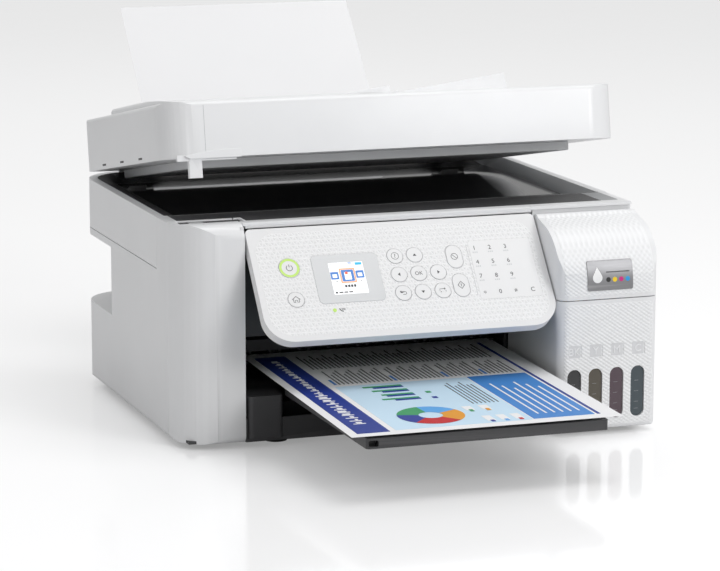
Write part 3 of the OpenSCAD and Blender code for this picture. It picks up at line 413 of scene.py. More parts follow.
@dataclass(frozen=True)
class Plastic(Finish):
    """Moulded plastic with grain, handling marks, a little dust, softly worn edges, painted shade in its
    inner corners and, with a relief, grooves painted paler as a painted highlight.
    """

    depth: float = 0.00002
    spread: float = 0.10
    dust: float = 0.05
    # the amount of edge wear and of painted shade in inner corners
    wear_and_shade: float = 0.10
    coat: float = 0.0
    relief: Relief = Relief.PLAIN
    centre: Span = (0.0, 0.0)
    half: Span = (1.0, 1.0)
    corner: float = 0.01

    def dress(self, g: Graph, pins: Sockets) -> None:
        """Links colour, roughness and surface height."""
        grain = g.group(Effects.grain(), Scale=2600.0)
        tone = g.mix(grain["Tone"], self.tint(0.965), self.tint(1.05, 0.01))
        dusty = g.group(Effects.dust(), Color=tone, Amount=self.dust)["Color"]
        edge = self.tint(1.0, 0.10)
        # Worn convex edges, and painted shade that darkens the inner corners.
        worn_and_shaded = g.group(Effects.wear_and_shade(), Color=dusty, Edge_Color=edge, Amount=self.wear_and_shade)["Color"]
        normal = g.bump(grain["Height"], 0.5, self.depth)
        if self.relief is not Relief.PLAIN:
            normal, raised = self.raise_relief(g, normal)
            # Painted highlight: the grooves of the relief are painted paler than its faces, as if light
            # caught the pattern.
            worn_and_shaded = g.mix(raised, self.tint(1.10, 0.03), worn_and_shaded)
        g.feed(worn_and_shaded, pins["Base Color"])
        g.feed(normal, pins["Normal"])
        self.handle(g, pins, self.spread)
        pins["Coat Weight"].default_value = self.coat
        pins["Coat Roughness"].default_value = 0.12

    def raise_relief(self, g: Graph, normal: Socket) -> tuple[Socket, Socket]:
        """Adds the moulded pattern inside its smooth rim.

        Args:
            g: the material's graph.
            normal: the surface's direction with its grain.

        Returns:
            The direction with both, and the share of each point that is not in a groove.
        """
        place = g.place()
        if self.relief is Relief.LATTICE:
            height = g.group(Effects.lattice(), Pitch=4.5 * MM)["Height"]
            flat, depth = place, 0.35 * MM
        else:
            height = g.group(Effects.ripple(), Width=2.2 * MM, Row=1.5 * MM)["Height"]
            x, _, z = g.split(place)
            flat, depth = g.add("ShaderNodeCombineXYZ", {0: x, 1: z}).outputs[0], 0.45 * MM
        mask = g.group(
            Effects.field(),
            Vector=flat,
            Centre=(*self.centre, 0.0),
            Half=(*self.half, 0.0),
            Radius=self.corner,
            Fade=1.0 * MM,
        )["Mask"]
        masked = g.math("MULTIPLY", height, mask)
        # the share out of the grooves, which the colour uses to paint the grooves paler as a painted
        # highlight
        raised = g.math("MAXIMUM", g.math("SUBTRACT", 1.0, mask), masked)
        return g.bump(masked, 0.9, depth, normal), raised


@dataclass(frozen=True)
class Metal(Finish):
    """Sheet or turned metal with fine brushed lines."""

    lines: float = 1.0

    def dress(self, g: Graph, pins: Sockets) -> None:
        """Links the brushed tone, roughness and height."""
        brushed = g.group(Effects.brushed(), Scale=self.lines)
        tone = g.mix(brushed["Tone"], self.tint(0.8), self.colour)
        # Worn edges, and painted shade that darkens the inner corners.
        g.feed(g.group(Effects.wear_and_shade(), Color=tone, Amount=0.25)["Color"], pins["Base Color"])
        g.feed(g.bump(brushed["Height"], 0.25, 0.00003), pins["Normal"])
        self.handle(g, pins, 0.18)
        pins["Metallic"].default_value = 1.0


@dataclass(frozen=True)
class Rubber(Finish):
    """Ground or moulded rubber."""

    def dress(self, g: Graph, pins: Sockets) -> None:
        """Links a coarse grain and a patchy roughness."""
        grain = g.group(Effects.grain(), Scale=1500.0)
        tone = g.mix(grain["Tone"], self.colour, self.tint(1.8, 0.01))
        g.feed(g.group(Effects.dust(), Color=tone, Amount=0.3)["Color"], pins["Base Color"])
        g.feed(g.bump(grain["Height"], 0.6, 0.00008), pins["Normal"])
        self.handle(g, pins, 0.2)


@dataclass(frozen=True)
class DarkGlass(Finish):
    """Polished glass over a dark bed, with faint wiping marks."""

    def dress(self, g: Graph, pins: Sockets) -> None:
        """Links a faint smear in roughness and colour."""
        tone = g.group(Effects.grain(), Scale=300.0)["Tone"]
        g.feed(g.mix(tone, self.colour, self.tint(1.0, 0.006)), pins["Base Color"])
        self.handle(g, pins, 0.06)
        pins["IOR"].default_value = 1.45


@dataclass(frozen=True)
class InkPlastic(Finish):
    """Smoky see-through plastic with ink behind it: deep below, paler near the ink's surface."""

    level: float = 0.040
    empty: Colour = (0.30, 0.30, 0.31)

    def dress(self, g: Graph, pins: Sockets) -> None:
        """Links the ink's level and the soft tone of the plastic."""
        share = g.ramp(g.split(g.place())[2], self.level - 0.004, self.level + 0.010)
        cloud = g.math("MULTIPLY", g.group(Effects.grain(), Scale=500.0)["Tone"], 0.25)
        g.feed(g.mix(cloud, g.mix(share, self.colour, self.empty), self.empty), pins["Base Color"])
        self.handle(g, pins, 0.08)
        pins["Coat Weight"].default_value = 0.6
        pins["Coat Roughness"].default_value = 0.08


@dataclass(frozen=True)
class Printed(Finish):
    """Printing ink on plastic or paper: nearly flat, with a faintly uneven cover."""

    glow: float = 0.0

    def dress(self, g: Graph, pins: Sockets) -> None:
        """Links the uneven cover, and a glow where the print is a lit screen."""
        tone = g.mix(g.group(Effects.grain(), Scale=5000.0)["Tone"], self.colour, self.tint(1.1, 0.01))
        g.feed(tone, pins["Base Color"])
        self.handle(g, pins, 0.1)
        if self.glow:
            g.feed(tone, pins["Emission Color"])
            pins["Emission Strength"].default_value = self.glow


@dataclass(frozen=True)
class Paper(Finish):
    """Office paper with a faint fibre mottle."""

    def dress(self, g: Graph, pins: Sockets) -> None:
        """Links the fibre tone and height."""
        grain = g.group(Effects.grain(), Scale=1800.0)
        g.feed(g.mix(grain["Tone"], self.tint(0.975), self.colour), pins["Base Color"])
        g.feed(g.bump(grain["Height"], 0.2, 0.00004), pins["Normal"])
        pins["Specular IOR Level"].default_value = 0.2


@dataclass(frozen=True)
class Board(Finish):
    """A circuit board: solder mask with copper tracks."""

    track: Colour = (0.10, 0.32, 0.12)

    def dress(self, g: Graph, pins: Sockets) -> None:
        """Links a track pattern in colour and height."""
        shades = {"Color1": self.colour, "Color2": self.tint(0.7), "Mortar": self.track}
        inputs = {"Vector": g.place(), "Scale": 120.0, "Mortar Size": 0.035}
        inputs |= {key: (*shade, 1.0) for key, shade in shades.items()}
        tracks = g.add("ShaderNodeTexBrick", inputs).outputs
        # Worn edges, and painted shade that darkens the inner corners.
        g.feed(g.group(Effects.wear_and_shade(), Color=tracks["Color"], Amount=0.1)["Color"], pins["Base Color"])
        g.feed(g.bump(tracks["Fac"], 0.4, 0.0001), pins["Normal"])


@dataclass(frozen=True)
class FloorGloss(Finish):
    """A pale polished floor with a faint unevenness in its gloss."""

    lift: float = 0.28

    def dress(self, g: Graph, pins: Sockets) -> None:
        """Links the gloss, and a light of its own that only the camera sees."""
        self.handle(g, pins, 0.04)
        pins["IOR"].default_value = 1.5
        pins["Emission Color"].default_value = (1.0, 1.0, 1.0, 1.0)
        seen = g.add("ShaderNodeLightPath").outputs["Is Camera Ray"]
        g.feed(g.math("MULTIPLY", seen, self.lift), pins["Emission Strength"])


PANEL_MID = (-14.8 * MM, -48.5 * MM)
PANEL_HALF = (117.7 * MM - 4.5 * MM, 48.5 * MM - 4.5 * MM)
TANK_MID = 145.7 * MM

WHITE = Plastic("white_satin", (0.84, 0.845, 0.855), 0.34, coat=0.15)
LID_WHITE = Plastic("white_lid", (0.85, 0.855, 0.865), 0.32, coat=0.2)
PANEL_WHITE = Plastic(
    "white_lattice", (0.81, 0.81, 0.815), 0.42, relief=Relief.LATTICE,
    centre=PANEL_MID, half=PANEL_HALF, corner=18 * MM,
)
TANK_WHITE = Plastic(
    "white_ripple", (0.84, 0.845, 0.855), 0.40, relief=Relief.RIPPLE,
    centre=(TANK_MID, 55.5 * MM), half=(37.6 * MM, 48.6 * MM), corner=5 * MM,
)
TANK_LID_WHITE = Plastic(
    "white_ripple_lid", (0.84, 0.845, 0.855), 0.40, relief=Relief.RIPPLE,
    centre=(TANK_MID, 139 * MM), half=(37.6 * MM, 29 * MM), corner=5 * MM,
)
KEY_WHITE = Plastic("key_white", (0.84, 0.84, 0.845), 0.36, depth=0.00001)
LENS_GREY = Plastic("lens_grey", (0.67, 0.68, 0.69), 0.25, coat=0.3, depth=0.000004, spread=0.05)
PAD_GREY = Plastic("pad_grey", (0.64, 0.65, 0.66), 0.45)
SLOPE_GREY = Plastic("slope_grey", (0.30, 0.31, 0.32), 0.38)
DARK = Plastic("dark_grey", (0.040, 0.040, 0.043), 0.42, dust=0.12, wear_and_shade=0.25, depth=0.00004)
BLACK = Plastic("black_inner", (0.014, 0.014, 0.016), 0.45, dust=0.15, wear_and_shade=0.2, depth=0.00004)
GLASS = DarkGlass("scanner_glass", (0.006, 0.006, 0.007), 0.07)
STEEL = Metal("plated_steel", (0.60, 0.61, 0.62), 0.30)
BADGE = Metal("badge_metal", (0.30, 0.30, 0.31), 0.42, lines=1.6)
ROLLER = Rubber("roller_rubber", (0.03, 0.03, 0.032), 0.75)
FOOT = Rubber("foot_rubber", (0.018, 0.018, 0.018), 0.85)
BELT = Rubber("belt_rubber", (0.022, 0.022, 0.022), 0.7)
SMOKE = InkPlastic("tank_smoke", (0.16, 0.16, 0.17), 0.25)
BOARD = Board("board_green", (0.02, 0.12, 0.05), 0.35)
PRINT_GREY = Printed("print_grey", (0.07, 0.07, 0.075), 0.5)
RING_GREY = Printed("ring_grey", (0.42, 0.43, 0.44), 0.5)
PALE_GREY = Printed("pale_grey", (0.62, 0.63, 0.64), 0.5)
LIGHT_GREEN = Printed("light_green", (0.50, 0.74, 0.16), 0.35, glow=0.12)
SHEET = Paper("office_paper", (0.90, 0.90, 0.91), 0.75)

INKS = {
    "black": InkPlastic("ink_black", (0.018, 0.018, 0.019), 0.22, 0.034, (0.07, 0.07, 0.07)),
    "yellow": InkPlastic("ink_yellow", (0.085, 0.070, 0.048), 0.22, 0.038, (0.12, 0.11, 0.095)),
    "magenta": InkPlastic("ink_magenta", (0.080, 0.046, 0.062), 0.22, 0.040, (0.11, 0.09, 0.10)),
    "cyan": InkPlastic("ink_cyan", (0.042, 0.062, 0.074), 0.22, 0.041, (0.08, 0.10, 0.11)),
}
CAP_COLOURS = {
    "black": (0.02, 0.02, 0.02), "yellow": (0.80, 0.55, 0.02),
    "magenta": (0.50, 0.02, 0.18), "cyan": (0.01, 0.28, 0.55),
}
CAPS = {ink: Plastic("cap_" + ink, colour, 0.4) for ink, colour in CAP_COLOURS.items()}
# The letter tile is the tank's white painted darker as painted shade in its sunken square; the raised letters
# are painted paler as a painted highlight.
TILE_SHADED_WHITE = Plastic("tile_white_painted_shade", (0.74, 0.745, 0.76), 0.42)
LETTER_HIGHLIT_WHITE = Plastic("raised_white_painted_highlight", (0.90, 0.905, 0.92), 0.35)
MARK_GREY = Printed("mark_grey", (0.30, 0.31, 0.32), 0.4)
PRINT_WHITE = Printed("print_white", (0.88, 0.88, 0.88), 0.4)
DOT_COLOURS = {
    "black": (0.02, 0.02, 0.02), "yellow": (0.90, 0.62, 0.02),
    "magenta": (0.62, 0.01, 0.22), "cyan": (0.02, 0.33, 0.72),
}
BADGE_INKS = {ink: Printed("dot_" + ink, colour, 0.4) for ink, colour in DOT_COLOURS.items()}
SCREEN_WHITE = Printed("screen_white", (0.93, 0.95, 0.97), 0.3, glow=0.35)
SCREEN_BLUE = Printed("screen_blue", (0.06, 0.20, 0.55), 0.3, glow=0.25)
SCREEN_ORANGE = Printed("screen_orange", (0.85, 0.42, 0.25), 0.3, glow=0.25)
SCREEN_RED = Printed("screen_red", (0.75, 0.12, 0.05), 0.3, glow=0.25)
SCREEN_CYAN = Printed("screen_cyan", (0.03, 0.45, 0.70), 0.3, glow=0.25)
NAVY = Printed("print_navy", (0.010, 0.035, 0.27), 0.55)
PALE_BLUE = Printed("print_pale_blue", (0.58, 0.76, 0.90), 0.6)
MID_BLUE = Printed("print_mid_blue", (0.055, 0.24, 0.62), 0.55)
CHART_COLOURS = {
    "green": (0.05, 0.33, 0.13), "blue": (0.11, 0.39, 0.80), "amber": (0.78, 0.33, 0.02),
    "red": (0.55, 0.008, 0.012), "navy": (0.02, 0.04, 0.30),
}
CHART = {tone: Printed("chart_" + tone, colour, 0.55) for tone, colour in CHART_COLOURS.items()}
FLOOR = FloorGloss("floor_gloss", (0.86, 0.86, 0.865), 0.10)


# ---------------------------------------------------------------- pieces

TOUCHING = 1e-7                  # metres between points that are one
SHARP = math.radians(32)         # edges that turn by more are rounded
RIM_ANGLE = 1.2                  # radians between a plate's face and its side, at the least


def attach(obj: bpy.types.Object, body: str) -> bpy.types.Object:
    """Makes a piece ride on a body."""
    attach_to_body(obj, body)
    log.info("%s rides on %s", obj.name, body)
    return obj


def from_mesh(
    name: str, mesh: bpy.types.Mesh, finish: Finish, body: str, place: Matrix | None = None
) -> bpy.types.Object:
    """A piece from a mesh.

    Args:
        name: the piece's name.
        mesh: its mesh, in metres.
        finish: its finish.
        body: the body that it rides on.
        place: where the mesh's own frame lies.

    Returns:
        The new piece.
    """
    obj = bpy.data.objects.new(name, mesh)
    bpy.context.collection.objects.link(obj)
    mesh.materials.clear()
    mesh.materials.append(finish.material())
    obj.matrix_world = place or Matrix.Identity(4)
    bpy.context.view_layer.update()
    return attach(obj, body)


def cut_outlines(loops: Sequence[Loop], low: float, high: float, soften: float = 0.0) -> bpy.types.Mesh:
    """A flat plate whose inner outlines are holes.

    Args:
        loops: closed outlines in millimetres.
        low, high: the heights of its two faces.
        soften: the size of the bevel on its edges.

    Returns:
        The mesh, in metres.
    """
    curve = bpy.data.curves.new("outline", "CURVE")
    curve.dimensions = "2D"
    curve.fill_mode = "BOTH"
    curve.extrude = (high - low) / 2 * MM
    for loop in loops:
        spline = curve.splines.new("POLY")
        spline.points.add(len(loop) - 1)
        for point, (x, y) in zip(spline.points, loop):
            point.co = (x * MM, y * MM, 0.0, 1.0)
        spline.use_cyclic_u = True
    holder = bpy.data.objects.new("outline", curve)
    bpy.context.collection.objects.link(holder)
    bpy.context.view_layer.update()
    mesh = bpy.data.meshes.new_from_object(holder.evaluated_get(bpy.context.evaluated_depsgraph_get()))
    bpy.data.objects.remove(holder)
    bpy.data.curves.remove(curve)
    mesh.transform(Matrix.Translation((0, 0, (low + high) / 2 * MM)))
    work = bmesh.new()
    work.from_mesh(mesh)
    bmesh.ops.remove_doubles(work, verts=work.verts, dist=TOUCHING)
    if soften:
        rims = [e for e in work.edges if len(e.link_faces) == 2 and e.calc_face_angle(0.0) > RIM_ANGLE]
        top = [e for e in rims if all(abs(v.co.z - high * MM) < TOUCHING for v in e.verts)]
        bmesh.ops.bevel(work, geom=top, offset=soften * MM, segments=2, profile=0.6, affect="EDGES")
    work.to_mesh(mesh)
    work.free()
    return mesh


def decal(
    name: str,
    loops: Sequence[Loop],
    plane: Plane,
    height: float,
    finish: Finish,
    body: str,
    thick: float = 0.05,
    soften: float = 0.0,
) -> bpy.types.Object:
    """A thin printed or applied piece on a plane.

    Args:
        name: the piece's name.
        loops: closed outlines on the plane, in millimetres; an outline inside another is a hole.
        plane: the plane.
        height: how far its back lies above the plane.
        finish: its finish.
        body: the body that it rides on.
        thick: its thickness.
        soften: the bevel round its upper edge.

    Returns:
        The new piece.
    """
    mesh = cut_outlines(loops, height, height + thick, soften)
    return from_mesh(name, mesh, finish, body, plane.matrix())


def stroke(points: Loop, width: float) -> Loop:
    """The outline of a line of even width along open points."""
    left, right = [], []
    for i, (x, y) in enumerate(points):
        x0, y0 = points[max(i - 1, 0)]
        x1, y1 = points[min(i + 1, len(points) - 1)]
        run = math.hypot(x1 - x0, y1 - y0)
        nx, ny = -(y1 - y0) / run * width / 2, (x1 - x0) / run * width / 2
        left.append((x + nx, y + ny))
        right.append((x - nx, y - ny))
    return left + right[::-1]


def ring(cx: float, cy: float, r: float, width: float) -> list[Loop]:
    """The two outlines of a ring."""
    return [disc(cx, cy, r + width / 2), disc(cx, cy, r - width / 2)[::-1]]


def lettering(text: str, size: float, cx: float, cy: float) -> list[Loop]:
    """The outlines of short plain lettering, centred on a point.

    Args:
        text: the characters.
        size: their height in millimetres.
        cx, cy: the centre.

    Returns:
        Closed outlines in millimetres.
    """
    curve = bpy.data.curves.new("letters", "FONT")
    curve.body = text
    curve.size = 1.0
    curve.fill_mode = "NONE"
    curve.resolution_u = 4
    curve.offset = 0.02
    holder = bpy.data.objects.new("letters", curve)
    bpy.context.collection.objects.link(holder)
    bpy.context.view_layer.update()
    mesh = bpy.data.meshes.new_from_object(holder.evaluated_get(bpy.context.evaluated_depsgraph_get()))
    bpy.data.objects.remove(holder)
    links: dict[int, list[int]] = {}
    for edge in mesh.edges:
        a, b = edge.vertices
        links.setdefault(a, []).append(b)
        links.setdefault(b, []).append(a)
    xs = [v.co.x for v in mesh.vertices]
    ys = [v.co.y for v in mesh.vertices]
    mid_x, mid_y = (min(xs) + max(xs)) / 2, (min(ys) + max(ys)) / 2
    grow = size / (max(ys) - min(ys))
    loops, seen = [], set()
    for start in links:
        chain, here, before = [], start, None
        while here not in seen:
            seen.add(here)
            chain.append(here)
            ahead = [n for n in links[here] if n != before and n not in seen]
            before, here = here, ahead[0] if ahead else start
        if len(chain) > 2:
            points = [mesh.vertices[i].co for i in chain]
            loops.append([((p.x - mid_x) * grow + cx, (p.y - mid_y) * grow + cy) for p in points])
    return loops


def bevelled_twin(
    node: str,
    finish: Finish,
    body: str,
    width: float = 0.5,
    plane: Plane | None = None,
    segments: int = 3,
) -> bpy.types.Object:
    """A copy of a CAD piece with softly rounded edges, which stands for it.

    Args:
        node: the CAD piece.
        finish: its finish.
        body: the body that it rides on.
        width: the width of the rounding.
        plane: the plane that its texture follows, or the machine's own frame.
        segments: steps in the rounding.

    Returns:
        The new piece.
    """
    source = frame["nodes"][node]
    mesh = source.data.copy()
    place = plane.matrix() if plane else Matrix.Identity(4)
    mesh.transform(place.inverted())
    work = bmesh.new()
    work.from_mesh(mesh)
    bmesh.ops.remove_doubles(work, verts=work.verts, dist=2e-6)
    bmesh.ops.dissolve_limit(work, angle_limit=math.radians(0.6), verts=work.verts, edges=work.edges)
    bmesh.ops.recalc_face_normals(work, faces=work.faces)
    for face in work.faces:
        face.smooth = True
    work.to_mesh(mesh)
    work.free()
    twin = from_mesh(node + "_shell", mesh, finish, body, place)
    mesh.set_sharp_from_angle(angle=SHARP)
    bevel = twin.modifiers.new("soft_edges", "BEVEL")
    bevel.width = width * MM
    bevel.segments = segments
    bevel.limit_method = "ANGLE"
    bevel.angle_limit = SHARP
    bevel.use_clamp_overlap = True
    bevel.harden_normals = True
    bevel.miter_outer = "MITER_ARC"
    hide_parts(node)
    return twin


# ---------------------------------------------------------------- sub-assemblies


@dataclass
class Housing:
    """The casing: side columns, right cover, rear cover, deck, liner and the small parts on them."""

    soft: float = 0.7
    slope_from_z: float = 150.0
    lip: Box = (-131.5, 102.5, 8.3, 9.3)
    lip_z: Span = (168.5, 170.45)
    trim_x: Span = (-178.0, 166.0)
    trim_y: Span = (18.5, 57.2)
    trim_step: Span = (-127.5, 33.6)
    trim_end: Box = (166.3, 181.0, 18.5, 57.2)
    scoop: Box = (-178.0, -129.6, 18.4, 32.7)
    scoop_z: float = 171.8
    post_slot: Box = (-170.5, -157.5, 22.6, 31.6)

    def build(self) -> None:
        """Builds the shells, then the lip and the dark trim on the deck."""
        shells = {
            "left_side_cover": (WHITE, "white_shell", self.soft),
            "right_side_cover": (TANK_WHITE, "white_shell", self.soft),
            "rear_cover": (WHITE, "white_shell", self.soft),
            "front_deck": (WHITE, "white_shell", 0.4),
            "front_liner": (BLACK, "black_inner", 0.4),
            "base_pan": (DARK, "dark_tray", 0.5),
            "rubber_feet": (FOOT, "foot_rubber", 0.3),
            "case_screws": (STEEL, "screw_steel", 0.1),
        }
        twins = {
            node: bevelled_twin(node, finish, "root", width)
            for node, (finish, slot, width) in shells.items()
        }
        liner = twins["front_liner"].data
        liner.materials.append(SLOPE_GREY.material())
        for face in liner.polygons:
            face.material_index = int(face.center.z / MM > self.slope_from_z)
        low, high = self.lip_z
        lip = [rounded(*self.lip, 0.2, 2)]
        decal("deck_lip", lip, GROUND, low, WHITE, "root", high - low, 0.0)
        self.trim()

    def trim(self) -> None:
        """Lays the dark trim on the deck, with room for the finger scoop and the lid's post."""
        (x0, x1), (y0, y1), (x, y) = self.trim_x, self.trim_y, self.trim_step
        outline = [(x0, y), (x, y), (x, y0), (x1, y0), (x1, y1), (x0, y1)]
        end = [rounded(*self.trim_end, 2, 4)]
        scoop = [rounded(*self.scoop, 1, 3), rounded(*self.post_slot, 0.5, 2)]
        decal("deck_trim", [outline], GROUND, RIM_Z, BLACK, "root", 0.06, 0.0)
        decal("deck_trim_end", end, GROUND, RIM_Z, SLOPE_GREY, "root", 0.06)
        decal("scoop_trim", scoop, GROUND, self.scoop_z, BLACK, "root", 0.05, 0.0)


@dataclass
class TankUnit:
    """The ink tank unit at the right: lid, badge, tanks, caps, windows and letter tiles."""

    first_x: float = 116.8
    step: float = 17.8
    window_w: float = 11.6
    window_z: Span = (12.6, 53.0)
    window_gap: float = 0.12
    window_back: float = -2.9
    window_thick: float = 1.7
    tile_z: float = 67.0
    tile_half: float = 4.9
    tile_back: float = -0.52
    letter_size: float = 5.6
    letter_thick: float = 0.42
    tick_x: Span = (-2.2, 1.2)
    tick_z: tuple[float, ...] = (41.0, 32.6, 24.2, 18.7)
    brow: Point = (-2.1, 118.0, 45.4)
    badge_x: Span = (126.7, 164.7)
    badge_z: Span = (114.2, 137.2)
    badge_proud: float = 0.72
    drop_in: float = 8.2
    drop_r: float = 4.0
    dot_r: float = 1.9
    dot_step: float = 5.4

    def build(self) -> None:
        """Builds the lid, the windows, the letters and the badge's emblem."""
        bevelled_twin("tank_lid", TANK_LID_WHITE, "tank_lid", 0.5)
        bevelled_twin("tank_badge", BADGE, "tank_lid", 0.2)
        bevelled_twin("ink_tanks", SMOKE, "root", 0.4)
        for i, (ink, letters) in enumerate(zip(INKS, ("BK", "Y", "M", "C"))):
            x = self.first_x + i * self.step
            bevelled_twin("tank_cap_" + ink, CAPS[ink], "tank_cap_" + ink, 0.4)
            self.window(ink, x)
            self.tile(ink, letters, x)
        self.emblem()

    def tile(self, ink: str, letters: str, x: float) -> None:
        """Builds one letter tile.

        Args:
            ink: the ink's name.
            letters: its short name.
            x: the middle of the tile.
        """
        half, z, back = self.tile_half, self.tile_z, self.tile_back
        plate = [rounded(x - half, x + half, z - half, z + half, 0.8)]
        word = lettering(letters, self.letter_size, x, z)
        # Painted shade on the sunken tile, and a painted highlight on the raised letters.
        for name, loops, finish, low, thick, soften in (
            ("letter_tile_", plate, TILE_SHADED_WHITE, back, 0.06, 0.0),
            ("tank_letter_", word, LETTER_HIGHLIT_WHITE, back + 0.02, self.letter_thick, 0.06),
        ):
            decal(name + ink, loops, TANK_FRONT, low, finish, "root", thick, soften)

    def window(self, ink: str, x: float) -> None:
        """Builds one level window with its scale.

        Args:
            ink: the ink's name.
            x: the middle of the window.
        """
        gap, back, thick = self.window_gap, self.window_back, self.window_thick
        half = self.window_w / 2 - gap
        low, high = self.window_z
        pane = [rounded(x - half, x + half, low + gap, high - gap, half, 14)]
        decal("tank_window_" + ink, pane, TANK_FRONT, back, INKS[ink], "root", thick, 0.5)
        start, end = self.tick_x
        ticks = [stroke([(x + start, z), (x + end, z)], 0.22) for z in self.tick_z]
        decal("level_marks_" + ink, ticks, TANK_FRONT, back + thick - 0.02, MARK_GREY, "root", 0.05)

    def emblem(self) -> None:
        """Puts a plain drop and a row of four ink dots on the badge, bent to the lid's curve."""
        mid_z = sum(self.badge_z) / 2
        x = self.badge_x[0] + self.drop_in
        tip = [(x, mid_z + 6.6)]
        drop = tip + arc(x, mid_z - 1.4, self.drop_r, 28, -208, 28)
        pieces = [("badge_drop", [drop], PRINT_WHITE)]
        for i, ink in enumerate(CAPS):
            dot = disc(x + 9.0 + self.dot_step * i, mid_z - 3.2, self.dot_r, 28)
            pieces.append(("badge_dot_" + ink, [dot], BADGE_INKS[ink]))
        lines = [rounded(x + 7.2, x + 27.0, mid_z + 2.2, mid_z + 3.0, 0.4, 4)]
        pieces.append(("badge_line", lines, PRINT_GREY))
        for name, loops, finish in pieces:
            piece = decal(name, loops, TANK_FRONT, 0.0, finish, "tank_lid", 0.06)
            self.bend(piece.data)

    def bend(self, mesh: bpy.types.Mesh) -> None:
        """Cuts a flat print into narrow rows and lays them on the lid's round front.

        Args:
            mesh: the print's mesh, on the plane of the tank's front.
        """
        y0, z0, r = self.brow
        work = bmesh.new()
        work.from_mesh(mesh)
        for step in range(int(self.badge_z[1] - self.badge_z[0]) * 2):
            level = (self.badge_z[0] + step / 2) * MM
            everything = work.verts[:] + work.edges[:] + work.faces[:]
            bmesh.ops.bisect_plane(work, geom=everything, plane_co=(0, level, 0), plane_no=(0, 1, 0))
        for vert in work.verts:
            rise = max(vert.co.y / MM - z0, 0.0)
            depth = r + self.badge_proud + vert.co.z / MM
            vert.co.z = (-y0 + math.sqrt(depth * depth - rise * rise) + TANK_FRONT.origin[1]) * MM
        work.to_mesh(mesh)
        work.free()


